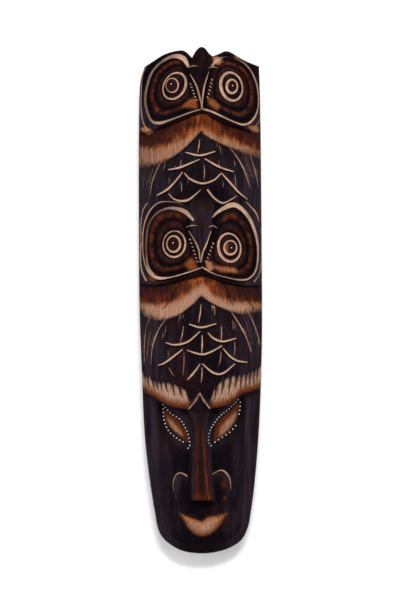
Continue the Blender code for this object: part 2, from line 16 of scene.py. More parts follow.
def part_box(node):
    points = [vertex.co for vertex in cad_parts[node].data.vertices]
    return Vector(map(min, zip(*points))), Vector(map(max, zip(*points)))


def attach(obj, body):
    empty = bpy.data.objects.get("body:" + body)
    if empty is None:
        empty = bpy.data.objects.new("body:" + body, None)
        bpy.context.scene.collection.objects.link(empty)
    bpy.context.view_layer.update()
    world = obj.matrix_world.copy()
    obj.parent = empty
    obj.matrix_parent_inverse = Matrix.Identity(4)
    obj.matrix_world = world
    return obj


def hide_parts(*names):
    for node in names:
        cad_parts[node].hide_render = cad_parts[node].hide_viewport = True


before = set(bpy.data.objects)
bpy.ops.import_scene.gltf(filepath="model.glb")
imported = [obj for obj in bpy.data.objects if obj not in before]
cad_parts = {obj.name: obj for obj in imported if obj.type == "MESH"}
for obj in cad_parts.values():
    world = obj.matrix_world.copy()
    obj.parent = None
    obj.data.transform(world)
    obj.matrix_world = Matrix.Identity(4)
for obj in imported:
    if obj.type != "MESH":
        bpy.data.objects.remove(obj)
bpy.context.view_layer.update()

# How much of the whole depth the front takes under the nose, and how much of that the sides take
FRONT_SHARE = 0.743
SIDE_SHARE = 0.58

# Driving sizes, in metres
MASK_LOW, MASK_HIGH = (np.array(corner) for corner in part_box("mask"))
FRONT_DEPTH = FRONT_SHARE * (MASK_HIGH[1] - MASK_LOW[1])
SIDE_DEPTH = SIDE_SHARE * FRONT_DEPTH
HOLLOW_DEPTH = 0.012
HOLE_DEPTH = 0.010

# The drawing of the front, in which one step is about a millimetre
DRAWING_HEIGHT = 505
DRAWING_WIDTH = 123
ORIGIN_UP = 462
HOLE_UP = 474
HOLLOW_TOP = 440

# Depths of the carving, as shares of the depth of the front
FACET_DROP = 0.16 * FRONT_DEPTH
CHIN_DROP = 0.24 * FRONT_DEPTH
CHIN_BEVEL = 0.12 * FRONT_DEPTH
DISC_RISE = 0.065 * FRONT_DEPTH
RIDGE_RISE = 0.022 * FRONT_DEPTH
EYE_RISE = 0.085 * FRONT_DEPTH
PUPIL_RISE = 0.035 * FRONT_DEPTH
BEAK_STEP = 0.08 * FRONT_DEPTH
BEAK_RISE = 0.11 * FRONT_DEPTH
BAND_SINK = 0.15 * FRONT_DEPTH
BAND_CREST = 0.04 * FRONT_DEPTH
NOTCH_DROP = 0.085 * FRONT_DEPTH
BREAST_RISE = 0.05 * FRONT_DEPTH
LIP_OF_SCALE = 0.05 * FRONT_DEPTH
UNDER_SCALE = 0.05 * FRONT_DEPTH
FRINGE_RISE = 0.11 * FRONT_DEPTH
FACE_SINK = 0.13 * FRONT_DEPTH
SOCKET_SINK = 0.10 * FRONT_DEPTH
EYEBALL_RISE = 0.08 * FRONT_DEPTH
NOSE_RISE = 0.42 * FRONT_DEPTH
WING_RISE = 0.13 * FRONT_DEPTH
LIP_RISE = 0.15 * FRONT_DEPTH
MOUTH_RISE = 0.07 * FRONT_DEPTH

# Depths of the fine work, in metres
GOUGE_SLOPE = 0.0008
DEEPEST_GOUGE = 0.0011
KNIFE_MARKS = 0.00022
DOT_RISE = 0.00022
EDGE_ROUNDING = 0.0011
SCALLOP_DEPTH = 0.0007

# Widths and heights of the carving, in steps of the drawing
RIM_WIDTH = 13
HOLE_RADIUS = 4
STEP_RUN = 1.4
FACET_AT = 44
FACET_END = 62
CHIN_HEIGHT = 62
CHIN_BEVEL_WIDTH = 7
CHIN_BEVEL_FADE = (40, 110)
EDGE_FADE = 6
EDGE_ROUND = 1.6
BACK_EDGE_ROUND = 1.2
BEAK_SLOPE = 9
BEAK_2_FADE = 28
DISC_FADE = 11
RIDGE_FADE = (1, 9)
BAND_MIDDLE = (12, 44)
NOTCH_RUN = 12
BREASTS = ((415, 352), (250, 165))
BREAST_SLOPE = (8, 46)
SCALE_RUN = 6
UNDER_SCALE_RUN = 3.5
FRINGE_SWELL = 22
FACE_SLOPE = (20, 120)
SOCKET_RUN = 7
EYEBALL_SLOPE = 4.5
NOSE_TOP = 160
NOSE_TOP_SLOPE = 18
NOSE_SWELL_TOP = 140
NOSE_SWELL = 76
NOSE_FLANK = (-2.2, 0.2)
NOSE_BACK = 5
LOWER_LIP_SLOPE = 6.5
UPPER_LIP_SLOPE = 1.5
HOLLOW_SLOPE = 9

# How closely the surface is covered with points, in steps of the drawing
ROW_SPACING = 1.3
FRONT_SPACING = 1.1
BACK_SPACING = 2.7
SIDE_ROWS = 6
SNAP = 0.35
EDGE_CLEARANCE = 0.7
POINTS_IN_HOLLOW_TOP = 40
WING_POINTS = 24

# How many spots are measured at a time
CHUNK = 4000

# Edges that turn further than this, in degrees, stay sharp
SHARP_ANGLE = 40

# The outline, each span smooth and the spans meeting at corners
CREST_RIGHT = [(1, 505), (4.5, 503), (7.5, 499), (11.5, 495.7)]
LOBE_RIGHT = [(11.5, 495.7), (18, 498.5), (27, 501), (44, 492), (58, 487)]
SIDES_AND_CHIN = [(58, 487), (59, 453), (60, 380), (61, 243), (60.2, 183), (57.8, 123), (53.8, 73),
                  (49.8, 41), (46.5, 25), (39.5, 12.5), (25, 4), (5, 0), (-17, 2), (-33, 10.5),
                  (-42, 22), (-46.4, 43), (-52, 79), (-56.7, 123), (-59.2, 181), (-61.5, 243),
                  (-62.2, 323), (-62.2, 413), (-61, 468), (-56.5, 486.5)]
LOBE_LEFT = [(-56.5, 486.5), (-48, 491.5), (-35, 498.8), (-20, 502), (-14, 499.5), (-9, 494.3)]
CREST_LEFT = [(-9, 494.3), (-5.5, 500.5), (-2, 504.2), (1, 505)]

# The beaks, from the forehead to the tip
BEAK_1_LEFT = [(-9, 494.3), (-11.5, 487), (-10.3, 476.5), (-5.5, 468), (-1.5, 459), (0.3, 451), (1, 443)]
BEAK_1_RIGHT = [(11.5, 495.7), (10, 487), (7.7, 478.5), (5.3, 470), (3.2, 461), (1.8, 452), (1, 443)]
BEAK_2_LEFT = [(-9, 356), (-9.3, 336), (-10.8, 328), (-9.8, 320), (-6.5, 314), (-2.5, 305), (0, 295),
               (1, 285)]
BEAK_2_RIGHT = [(11, 356), (10.7, 336), (11.6, 328), (10.5, 320), (7.5, 313), (4.5, 304), (2.3, 295),
                (1, 285)]

# The discs round the owls' eyes, each from the brow over the top and round to the tip of the beak
DISC_1_LEFT = [(-11.5, 487), (-15.5, 495.3), (-24, 498), (-33, 495.5), (-45, 487), (-53, 474),
               (-57, 452), (-51.5, 433), (-43, 428), (-31, 431.5), (-11, 439), (1, 443)]
DISC_1_RIGHT = [(10, 487), (15.5, 493.5), (26, 495.5), (41, 491), (51, 481), (57, 465), (57.5, 445),
                (52, 432), (43, 427), (31, 430.5), (12, 439), (1, 443)]
DISC_2_LEFT = [(-9.3, 336), (-14, 344.5), (-24, 350.7), (-41, 351.2), (-52, 342), (-58, 325),
               (-58.5, 300), (-54, 282), (-44, 274), (-31, 275), (-13, 280), (1, 285)]
DISC_2_RIGHT = [(10.7, 336), (17, 343), (30.5, 350.5), (41, 346), (51.5, 332), (57.5, 310),
                (56.5, 286), (49, 274.5), (38, 272.5), (23, 275.7), (12, 279), (1, 285)]

# The bare edge of each disc at those points: how wide and how bare
EDGE_1_LEFT = [(3, 0.8), (5, 0.95), (4, 0.62), (2.6, 0.4), (2.1, 0.38), (2.3, 0.32), (2.6, 0.27),
               (2.5, 0.33), (3.2, 0.62), (1.8, 0.5), (1.4, 0.6), (1.2, 0.4)]
EDGE_1_RIGHT = [(2, 0.7), (3, 0.45), (0.7, 0.05), (1.1, 0.5), (1.4, 0.65), (1.4, 0.6), (1.4, 0.5),
                (2.2, 0.75), (2.2, 0.75), (1.6, 0.65), (2, 0.85), (1.6, 0.6)]
EDGE_2_LEFT = [(0.4, 0), (0.5, 0.1), (0.9, 0.3), (1.2, 0.6), (1.4, 0.75), (1.2, 0.7), (1.2, 0.6),
               (1.8, 0.6), (3.2, 0.8), (1.4, 0.75), (1.4, 0.8), (1.3, 0.6)]
EDGE_2_RIGHT = [(1.4, 0.6), (3.2, 0.75), (5, 0.85), (4, 0.8), (3.4, 0.7), (2.4, 0.65), (1.8, 0.6),
                (1.8, 0.7), (1.6, 0.6), (1.1, 0.5), (1.2, 0.6), (1.8, 0.8)]

# The second pale ring of the lower owl's left disc: points, how wide and how bare
INNER_RING = [(-8, 333), (-15, 340.5), (-23, 344), (-34, 344.5), (-45, 339), (-52, 329), (-54.5, 315),
              (-54.5, 298), (-52.5, 286), (-47, 278)]
INNER_RING_WIDTHS = [(2.4, 0.8), (4.4, 0.75), (3.6, 0.5), (2.4, 0.3), (2, 0.24), (2, 0.2), (2, 0.22),
                     (2, 0.25), (2.2, 0.45), (2.4, 0.6)]

# The owls' eyes and pupils: centre, half width, half height and lean to the right in degrees
EYE_1_LEFT = (-26.5, 466.5, 10.5, 13.8, 30)
EYE_1_RIGHT = (30.3, 466, 10.6, 14.1, -15)
EYE_2_LEFT = (-26.7, 309.1, 11, 13, 6)
EYE_2_RIGHT = (28.3, 305.6, 11, 14, -12)
PUPIL_1_LEFT = (-28.8, 467, 6.1, 7, 0)
PUPIL_1_RIGHT = (30.8, 466, 5.3, 6.7, 0)
PUPIL_2_LEFT = (-27.4, 309.1, 6.6, 7.9, 0)
PUPIL_2_RIGHT = (29.2, 305.5, 6.2, 6.8, 0)

# Each disc with its bare edge, its side of the beak, its eye and its pupil
OWL_EYES = [(DISC_1_LEFT, EDGE_1_LEFT, BEAK_1_LEFT, EYE_1_LEFT, PUPIL_1_LEFT),
            (DISC_1_RIGHT, EDGE_1_RIGHT, BEAK_1_RIGHT, EYE_1_RIGHT, PUPIL_1_RIGHT),
            (DISC_2_LEFT, EDGE_2_LEFT, BEAK_2_LEFT, EYE_2_LEFT, PUPIL_2_LEFT),
            (DISC_2_RIGHT, EDGE_2_RIGHT, BEAK_2_RIGHT, EYE_2_RIGHT, PUPIL_2_RIGHT)]

# The ridges and grooves of a disc, at even shares of the way from the eye to the edge
RIDGES = 5
RIDGE_SHARES = [ridge / RIDGES for ridge in range(1, RIDGES)]

# Both sides of each beak, and how far down it takes to rise out of the forehead
BEAKS = [(BEAK_1_LEFT, BEAK_1_RIGHT, 0), (BEAK_2_LEFT, BEAK_2_RIGHT, BEAK_2_FADE)]

# The gouged ring round each eye and round its pupil: width, and the side in degrees where it swells
EYE_RINGS = [(EYE_1_LEFT, 2, 20), (EYE_1_RIGHT, 2.5, 170), (EYE_2_LEFT, 1.7, 320),
             (EYE_2_RIGHT, 2.3, 210), (PUPIL_1_LEFT, 1.3, 0), (PUPIL_1_RIGHT, 2.2, 200),
             (PUPIL_2_LEFT, 1.9, 330), (PUPIL_2_RIGHT, 1.9, 240)]

# The painted glint in each pupil
GLINTS = [(-29.7, 468.2), (31.5, 466.5), (-27.8, 310), (30.3, 305.2)]

# The bands under the owls' heads: top edge, crest, the bottom edge on each side of its notch, and
# how bare the wood is
BAND_1_TOP = [(-62, 420), (-41, 425.5), (-21, 433), (1, 441), (12, 436), (31, 427.5), (61, 420.5)]
BAND_1_CREST = [(-62, 411), (-43, 408.5), (-16, 418.5), (0, 427), (17, 421), (39, 413), (61, 405)]
BAND_1_LEFT = [(-62, 389.5), (-51, 389.5), (-31, 395), (-13, 407.5), (0.5, 422)]
BAND_1_RIGHT = [(0.5, 422), (6, 416.3), (24, 407.5), (47, 400.5), (61, 397.5)]
BAND_2_TOP = [(-62, 270), (-45, 269), (-29, 271.5), (1, 278.5), (19, 273.5), (40, 268.5), (61, 268)]
BAND_2_CREST = [(-62, 254), (-39, 252), (-20, 257.5), (0, 271), (12, 262), (31, 254.5), (61, 253)]
BAND_2_LEFT = [(-62, 247), (-55, 239.5), (-41, 235), (-24, 238.2), (-10, 248), (0, 258)]
BAND_2_RIGHT = [(0, 258), (10, 251), (24, 244.5), (40, 241.3), (61, 245.5)]
BANDS = [(BAND_1_TOP, BAND_1_CREST, BAND_1_LEFT, BAND_1_RIGHT, 0.72),
         (BAND_2_TOP, BAND_2_CREST, BAND_2_LEFT, BAND_2_RIGHT, 0.92)]

# The lips of the feather scales, each drawn from left to right
SCALES = [
    [(-15.5, 399.6), (-1, 396.5), (14, 400.5)],
    [(-32.5, 382.5), (-21, 384.5), (-1.5, 392.5)],
    [(3.5, 393.3), (18, 385), (32, 380.5)],
    [(-43.5, 357), (-33, 363), (-25, 371), (-18, 380)],
    [(-17, 379), (-11, 373), (1, 368.5), (13, 372), (20, 378.5)],
    [(20, 379), (28, 370), (36, 361), (45.5, 353.5)],
    [(-12, 228.5), (0, 225.3), (15, 229)],
    [(-35, 210), (-26, 208), (-13, 211), (-0.5, 221.5)],
    [(6.5, 220), (12, 214.5), (22, 211.3), (35, 214.5)],
    [(-42.5, 187.5), (-35, 190.5), (-18, 203.5)],
    [(-14, 202.5), (0, 198.5), (10, 201), (21, 207)],
    [(21.5, 204.5), (28, 197), (36, 192), (46, 190.5)],
    [(-13, 173.5), (-7, 180), (-0.5, 189)],
    [(1, 189), (12, 180.2), (22, 179.7), (34, 189)],
]

# The fringe over the face, from the left side to the right, dipping round the forehead
FRINGE_TOP = [(-62, 184), (-45, 172.5), (-29, 169.5), (-17, 164), (-11, 153), (-1.3, 163), (8, 154),
              (15, 167), (27, 175.5), (45, 180), (61, 188)]
FRINGE_LEFT = [(-62, 164), (-49, 157.5), (-31, 147.5), (-12, 144.5)]
FOREHEAD = [(-12, 144.5), (-1.3, 159.7), (8.5, 145)]
FRINGE_RIGHT = [(8.5, 145), (27, 149), (40, 159), (49, 161.5), (61, 166)]

# The notches cut down into the fringe: top and bottom
FRINGE_GAPS = [(-57, 182, -55.5, 169), (-54, 178, -52, 166), (-48.5, 174, -46, 163),
               (-45, 173, -42.5, 163), (-40.5, 172, -38.5, 161), (-35.5, 171, -33, 160.5),
               (-29, 170, -26.5, 158.5), (-21.5, 166, -18.5, 156), (15.5, 167, 13.5, 154),
               (22.5, 173, 20.5, 159), (29.2, 175, 27.3, 159), (35.2, 175, 33.8, 164),
               (40.2, 176.5, 39.2, 165.5), (45, 178, 44, 167), (49.2, 179.5, 48.2, 169),
               (53, 181, 52.2, 170), (56.6, 184, 56, 172)]

# The eyes and the nose of the face
EYE_LEFT_UPPER = [(-36.5, 143), (-24, 132), (-15.5, 121), (-14, 112.5)]
EYE_LEFT_LOWER = [(-14, 112.5), (-27.5, 123), (-34, 133), (-36.5, 143)]
EYE_RIGHT_UPPER = [(14, 112.5), (15.5, 125), (22, 134.5), (37, 148.5)]
EYE_RIGHT_LOWER = [(37, 148.5), (34.5, 134), (26, 122), (14, 112.5)]
FACE_EYES = [(EYE_LEFT_UPPER, EYE_LEFT_LOWER), (EYE_RIGHT_UPPER, EYE_RIGHT_LOWER)]
NOSE_ROOT_LEFT = [(-1.3, 159.7), (-6.7, 151.5), (-12, 144.5)]
NOSE_LEFT = [(-12, 144.5), (-7.8, 139), (-6.3, 131), (-8.7, 100), (-9.2, 73), (-8.5, 54)]
NOSE_RIGHT = [(11.5, 54), (10, 73), (8, 100), (4.8, 131), (5.6, 139), (8.5, 145)]
NOSE_ROOT_RIGHT = [(8.5, 145), (3.5, 152), (-1.3, 159.7)]

# The wings of the nose: centre, half width and half height, and how much longer they are below
NOSTRILS = [(-18.5, 69, 9.2, 11.5), (19.5, 70, 9.8, 13)]
NOSTRIL_TAIL = 1.7

# The mouth: the swelling round it, given like the owls' eyes, its seam and its lips
MOUTH_SWELL = (2, 33, 36, 24, 0)
SEAM_LEFT = [(-21, 41), (-14.3, 38.3), (-5.2, 35.2), (0.7, 33)]
SEAM_RIGHT = [(0.7, 33), (4.8, 36.2), (9.5, 38), (17.3, 39), (26, 40.5)]
LOWER_LIP = [(26, 40.5), (17, 27), (7, 19), (-4, 19), (-13.5, 27), (-21, 41)]
UPPER_LIP = [(26, 41.5), (9, 41), (0, 36), (-9, 41), (-21, 41.5)]

# Rows of painted dots round the eyes of the face: a smooth line and how many dots it has
DOT_ROWS = [
    ([(-38, 148.7), (-30.2, 140), (-20, 133), (-13, 119.5), (-11.2, 107.7), (-13, 105.5)], 16),
    ([(-38, 144.5), (-37, 134.5), (-33, 123.5), (-25, 116), (-18, 111.7)], 12),
    ([(37, 153.7), (28.3, 145), (19, 137.5), (10.5, 126.2), (7.5, 116.7), (8, 111), (10, 108)], 19),
    ([(39.2, 151), (38.7, 143.5), (38, 139.2)], 4),
    ([(34.5, 127.7), (28, 120.7), (20, 115.5), (13.8, 111.3)], 7),
]
DOT_RADIUS = 0.6

# Bare gouge strokes: points, widths at start, middle and end, and how bare the wood is
LONG_STROKES = [
    ([(-13, 484.3), (-8, 486.2), (-3, 485.5)], (0.6, 1.2, 0.5), 0.8),
    ([(7.5, 484.2), (12, 485.4), (16.5, 484.4)], (0.6, 1.2, 0.6), 0.8),
    ([(-14.5, 325.8), (-10, 327.4), (-3.5, 327.2)], (0.6, 1.2, 0.5), 0.9),
    ([(8, 326), (12, 327.2), (16, 325)], (0.6, 1.2, 0.6), 0.9),
    ([(-11, 478), (-8, 473), (-4.5, 466), (-2, 458), (0, 449.5), (0.7, 444)], (0.8, 2, 1.2), 0.85),
    ([(7.5, 480), (6, 475), (3.5, 467), (2, 458), (1.2, 449.5), (0.9, 444)], (0.8, 1.8, 1.2), 0.85),
    ([(-12.2, 322), (-7, 313.5), (-2.6, 304), (-0.5, 291)], (0.7, 2, 1), 0.95),
    ([(9.7, 321.5), (5.9, 310.3), (1.8, 300.7), (0, 291)], (0.7, 1.8, 1), 0.95),
    ([(-55, 486.5), (-58.5, 478), (-59.7, 463), (-60, 448), (-59, 436), (-56.5, 428), (-53, 423)],
     (1, 1.2, 1.6), 0.5),
    ([(57.5, 483), (59, 475)], (0.5, 1, 0.4), 0.6),
    ([(59.4, 463), (59.6, 448), (58.6, 434), (54, 426.5)], (0.5, 0.8, 1.2), 0.35),
    ([(-54, 350), (-58, 343), (-60, 331), (-60.5, 313), (-60.5, 293), (-59, 282), (-55, 273)],
     (1.2, 1, 2), 0.6),
    ([(45, 351), (49, 347), (55, 340), (58, 331)], (1, 2, 0.6), 0.6),
    ([(59.3, 325), (60.4, 313), (60, 290), (58, 279), (53, 271.5)], (0.5, 0.9, 1.4), 0.5),
    ([(-32, 359), (-27, 354), (-20, 352), (-13, 353), (-6, 358), (-0.5, 363)], (1, 2.4, 0.8), 0.9),
    ([(6.5, 363), (11, 357), (16, 352.5), (22, 350), (29, 353), (35.5, 357)], (1.8, 2, 0.8), 0.85),
    ([(-12, 144.8), (-6.5, 151.8), (-1.3, 160.2)], (1.2, 2.1, 1.7), 0.95),
    ([(-1.3, 160.2), (3, 152.8), (8.5, 145.3)], (1.7, 2.3, 1.2), 0.95),
    ([(-32, 186), (-29.5, 181), (-27, 178)], (0.5, 1, 0.4), 0.7),
    ([(-14.2, 78), (-17, 79.8), (-21.5, 81), (-25, 78.8), (-27.2, 74), (-28, 68), (-26.8, 62.5)],
     (1.8, 1.3, 0.4), 0.7),
    ([(11, 79.3), (15.5, 82.2), (20.5, 83.6), (25, 81), (28.4, 75.5), (29.6, 69), (29.4, 64)],
     (0.8, 1.9, 0.5), 0.75),
]

# The inner line of each wing
WING_1_LEFT = [(-39, 393), (-45, 381), (-49, 370), (-51, 357)]
WING_1_RIGHT = [(27, 407), (37, 394), (44, 380), (49, 365)]
WING_2_LEFT = [(-33, 237), (-41, 226), (-46, 215), (-49, 203), (-50, 188)]
WING_2_RIGHT = [(29, 243), (37, 231), (45, 216), (50, 201)]

# The wings: the inner and the outer line of each, with finer strokes between them
WINGS = [(WING_1_LEFT, [(-60, 388), (-61, 376), (-60.5, 357)]),
         (WING_1_RIGHT, [(59, 396), (60, 382), (58.5, 360)]),
         (WING_2_LEFT, [(-60, 238), (-60.5, 215), (-59, 187)]),
         (WING_2_RIGHT, [(59.5, 243), (60, 220), (58.5, 193)])]
HAIRS_IN_WING = 5

# The bolder strokes of the wings, given like the long strokes
WING_STROKES = [
    (WING_1_LEFT, (0.6, 1.3, 0.5), 0.55),
    (WING_1_RIGHT, (0.5, 1.5, 0.5), 0.7),
    ([(49, 397), (54, 383), (57, 366)], (0.5, 1.3, 0.4), 0.5),
    (WING_2_LEFT, (0.6, 1.5, 0.4), 0.65),
    ([(-51, 236), (-55, 225), (-56.5, 208), (-57, 188)], (0.5, 1.1, 0.4), 0.45),
    (WING_2_RIGHT, (0.6, 1.6, 0.4), 0.8),
    ([(46, 243), (52, 231), (57, 217), (59, 208)], (0.6, 1.3, 0.4), 0.65),
]

# Short strokes down the breasts: start, end, width and how bare
BREAST_STROKES = [
    (-1.5, 413, -3.5, 400, 1.3, 0.75), (-20, 393, -21.5, 384, 0.9, 0.5), (17.5, 393, 18, 388, 0.7, 0.4),
    (3, 388, 3, 373, 1.1, 0.65), (-32, 376, -32, 369, 0.8, 0.35), (33.5, 378, 34.5, 366, 0.9, 0.5),
    (-20, 371, -19.5, 361, 1, 0.6), (21.5, 372, 22, 365, 0.8, 0.35), (15, 410, 16, 405, 0.7, 0.3),
    (18, 408, 20, 398, 0.8, 0.45), (33, 392, 33.5, 387, 0.9, 0.5), (-36, 391, -38, 382, 0.9, 0.4),
    (-13, 375, -14, 368, 0.7, 0.3), (-26, 388, -27, 384, 0.6, 0.3),
    (0, 249, -2.5, 231, 1.4, 0.9), (-17.5, 227, -20.5, 212, 1.2, 0.75), (20, 227, 20, 213, 1.3, 0.8),
    (1, 218, 0.5, 200, 1.7, 0.9), (-17, 201, -18, 178, 0.9, 0.55), (20, 202, 18, 188, 1, 0.7),
    (33.5, 212, 33, 198, 1, 0.6), (31, 233, 32, 223, 0.9, 0.55), (33.5, 232, 34, 224, 0.7, 0.4),
    (1, 186, 0, 171, 1.3, 0.8), (13, 248, 13.5, 238, 0.9, 0.55), (10.5, 249, 11, 242, 0.8, 0.5),
    (-20, 241, -23, 231, 0.8, 0.5), (-17.5, 240, -19, 234, 0.7, 0.5), (-33, 203, -33, 196, 0.9, 0.35),
    (-35, 228, -37, 217, 0.9, 0.35), (-38.5, 222, -39, 214, 0.7, 0.3),
]

# Rows of short ticks beside the beaks: first and last place, how many, length and lean in degrees
TICK_ROWS = [((-10.5, 468.2), (-4.7, 452.5), 6, 1.6, -15), ((11, 472.5), (6.8, 455), 6, 2.4, -52),
             ((-11, 313.5), (-3.5, 291.5), 7, 1.7, -15), ((12, 309.5), (5.5, 291.5), 6, 2, -50)]

# Dark cuts through the paint: points and width
DARK_CUTS = [
    ([(-53, 403), (-49, 408), (-45, 411)], 1.1), ([(-34, 408), (-30, 414)], 0.7),
    ([(-24, 267), (-28, 258), (-33, 250), (-37.5, 245)], 1.1),
    ([(21, 272), (25, 264), (28, 256), (31.5, 248)], 1.1), ([(23.5, 271), (28, 262), (33, 252)], 0.6),
    ([(40, 266), (45, 257), (49, 250), (53, 244)], 1.2), ([(55, 269), (57.5, 259)], 1.2),
    ([(-49, 256), (-53, 252)], 2), ([(-60, 263), (-60.5, 258)], 1.2),
    ([(0, 257), (-6, 248), (-13, 238), (-22, 228), (-32, 221), (-40, 212)], 1),
    ([(2, 253), (8, 243), (15, 234), (23, 227), (35, 216)], 1),
    ([(-13, 172), (-6, 166.5), (-1, 162)], 0.9), ([(12, 173.5), (6, 167.5), (-1, 162)], 0.9),
    ([(0.5, 421.5), (-11, 409), (-20, 399.5)], 1.4),
]

# Patches where the wood shows through: loop, how soft its edge is, how orange and how bare
PATCHES = [
    ([(-8.5, 353), (10, 353), (2, 322)], 6, 0.5, 0.015),
    ([(-18, 446), (-11, 452), (-6, 453.5), (-4.5, 445), (-11, 445.5)], 1.2, 0.95, 0.55),
    ([(7, 453), (12, 452.5), (18, 446), (16, 443), (9, 448)], 1.2, 0.9, 0.5),
    ([(-15, 289), (-10, 294), (-6.8, 291), (-5, 284.8), (-12, 284.8)], 1.6, 0.9, 0.45),
    ([(5, 292), (10, 290.5), (12, 284.5), (7, 282.5)], 1.0, 0.45, 0.85),
    ([(10, 287), (20, 282), (36, 281), (34, 284.5), (20, 286)], 1.2, 0.7, 0.6),
    ([(-60.5, 424.5), (-55, 426.5), (-48, 421.5), (-53, 419)], 0.8, 0.4, 0.75),
    ([(47, 427), (56, 427), (57.5, 421.5), (52, 421)], 0.9, 0.4, 0.6),
    ([(12, 494.5), (16, 495), (21, 491), (17, 488), (13, 489.5)], 1.0, 0.3, 0.9),
    ([(24.6, 306), (26.4, 309), (26.6, 304), (27, 298.5), (25, 300)], 0.6, 0.9, 0.45),
    ([(34, 497), (40, 495.5), (39, 494), (34, 495.5)], 0.6, 0.2, 0.6),
    ([(22, 72), (24, 72), (24, 67), (22.5, 67)], 1.8, 1.0, 0.12),
    ([(23, 57), (25, 57), (24.5, 54), (23, 54)], 1.0, 1.0, 0.15),
    ([(-53, 276), (-46, 279), (-43, 275), (-49, 272)], 0.9, 0.6, 0.3),
]


def ramp(value, low, high):
    return np.clip((value - low) / (high - low), 0, 1)


def ease(value, low, high):
    share = ramp(value, low, high)
    return share * share * (3 - 2 * share)


def smooth(control, spacing=ROW_SPACING):
    """Points about one spacing apart on a smooth curve through the control points."""
    given = np.array(control, float)
    ends = np.vstack([2 * given[0] - given[1], given, 2 * given[-1] - given[-2]])
    curve = []
    for before, start, end, after in zip(ends, ends[1:], ends[2:], ends[3:]):
        pieces = max(1, round(np.linalg.norm((end - start)[:2]) / spacing))
        for piece in range(pieces):
            t = piece / pieces
            bend = 2 * before - 5 * start + 4 * end - after
            turn = 3 * start - before - 3 * end + after
            curve.append(start + 0.5 * ((end - before) * t + bend * t**2 + turn * t**3))
    curve.append(given[-1])
    return np.array(curve)


def joined(*spans):
    """Smooth spans one after another, a corner where two meet."""
    parts = [smooth(span)[:-1] for span in spans[:-1]]
    return np.vstack(parts + [smooth(spans[-1])])


def joined_loop(*spans):
    return joined(*spans)[:-1]


def closed(loop):
    return np.vstack([loop, loop[:1]])


def circle(turn):
    """The point of the unit circle at each turn."""
    return np.stack([np.cos(turn), np.sin(turn)], axis=1)


def walked_along(line):
    """How far along the line each of its points is."""
    return np.concatenate([[0], np.cumsum(np.linalg.norm(np.diff(line, axis=0), axis=1))])


def mottle(spots, wide, slice_at, tall):
    """Soft noise over the drawing, its blots about that wide and that tall."""
    return np.array([noise.noise((across / wide, slice_at, up / tall)) for across, up in spots])


def ellipse_axes(lean):
    angle = math.radians(lean)
    return np.array([[math.cos(angle), math.sin(angle)], [-math.sin(angle), math.cos(angle)]])


def ellipse(shape):
    """A closed ring from a centre, half width, half height and lean."""
    across, up, half_width, half_height, lean = shape
    count = round(math.pi * (half_width + half_height) / ROW_SPACING)
    turn = np.linspace(0, 2 * math.pi, count, endpoint=False)
    flat = circle(turn) * (half_width, half_height)
    return flat @ ellipse_axes(lean).T + (across, up)


def ellipse_share(spots, shape):
    """0 at the middle of the ellipse and 1 on its edge."""
    across, up, half_width, half_height, lean = shape
    flat = (spots - (across, up)) @ ellipse_axes(lean)
    return np.hypot(flat[:, 0] / half_width, flat[:, 1] / half_height)


def in_chunks(work, spots):
    """The work done on a few thousand spots at a time."""
    found = [work(part) for part in np.array_split(spots, math.ceil(len(spots) / CHUNK))]
    return tuple(np.concatenate(values) for values in zip(*found))


def nearest_on(spots, line):
    """For each spot its distance to the line, + on the left of its way, and the share of the way."""
    if len(spots) > CHUNK:
        return in_chunks(lambda part: nearest_on(part, line), spots)
    start, way = line[:-1], np.diff(line, axis=0)
    length = np.linalg.norm(way, axis=1)
    offset = spots[:, None] - start
    share = np.clip((offset * way).sum(2) / length**2, 0, 1)
    away = offset - share[..., None] * way
    distance = np.linalg.norm(away, axis=2)
    best = distance.argmin(axis=1)
    row = np.arange(len(spots))
    side = way[best, 0] * offset[row, best, 1] - way[best, 1] * offset[row, best, 0]
    walked = walked_along(line)
    along = (walked[best] + share[row, best] * length[best]) / walked[-1]
    return distance[row, best] * np.where(side < 0, -1, 1), along


def inside(spots, loop):
    if len(spots) > CHUNK:
        return in_chunks(lambda part: (inside(part, loop),), spots)[0]
    x, z = spots[:, :1], spots[:, 1:]
    ax, az = loop.T
    bx, bz = np.roll(loop, -1, axis=0).T
    crossed = (az > z) != (bz > z)
    rise = np.where(bz == az, 1, bz - az)
    return (crossed & (x < ax + (z - az) / rise * (bx - ax))).sum(1) % 2 == 1


def near(spots, line, margin):
    """The numbers of the spots that lie within a margin of the box round a line."""
    low, high = line.min(axis=0) - margin, line.max(axis=0) + margin
    return np.flatnonzero(((spots > low) & (spots < high)).all(axis=1))


def depth_in_loop(spots, loop, margin=None):
    """Distance to the loop, negative outside it. Past a margin outside it is only very far."""
    if margin is not None:
        chosen = near(spots, loop, margin)
        depth = np.full(len(spots), -1e3)
        if len(chosen):
            depth[chosen] = depth_in_loop(spots[chosen], loop)
        return depth
    distance, _ = nearest_on(spots, closed(loop))
    return np.where(inside(spots, loop), 1, -1) * np.abs(distance)


def level(line, across):
    """How high a line from left to right lies at each place across."""
    return np.interp(across, line[:, 0], line[:, 1])


def across_at(line, up):
    """Where a line from top to bottom lies at each height."""
    return np.interp(up, line[::-1, 1], line[::-1, 0])


def beside(line, gap):
    """The line moved to its left by a gap."""
    way = np.gradient(line, axis=0)
    way /= np.maximum(np.linalg.norm(way, axis=1), 1e-9)[:, None]
    normal = np.stack([-way[:, 1], way[:, 0]], axis=1)
    return line + np.reshape(gap, (-1, 1)) * normal


def reach(directions, centre, loop):
    """How far a loop lies from a centre in each direction."""
    offset = loop - centre
    angles = np.arctan2(offset[:, 1], offset[:, 0])
    return np.interp(directions, angles, np.linalg.norm(offset, axis=1), period=2 * math.pi)


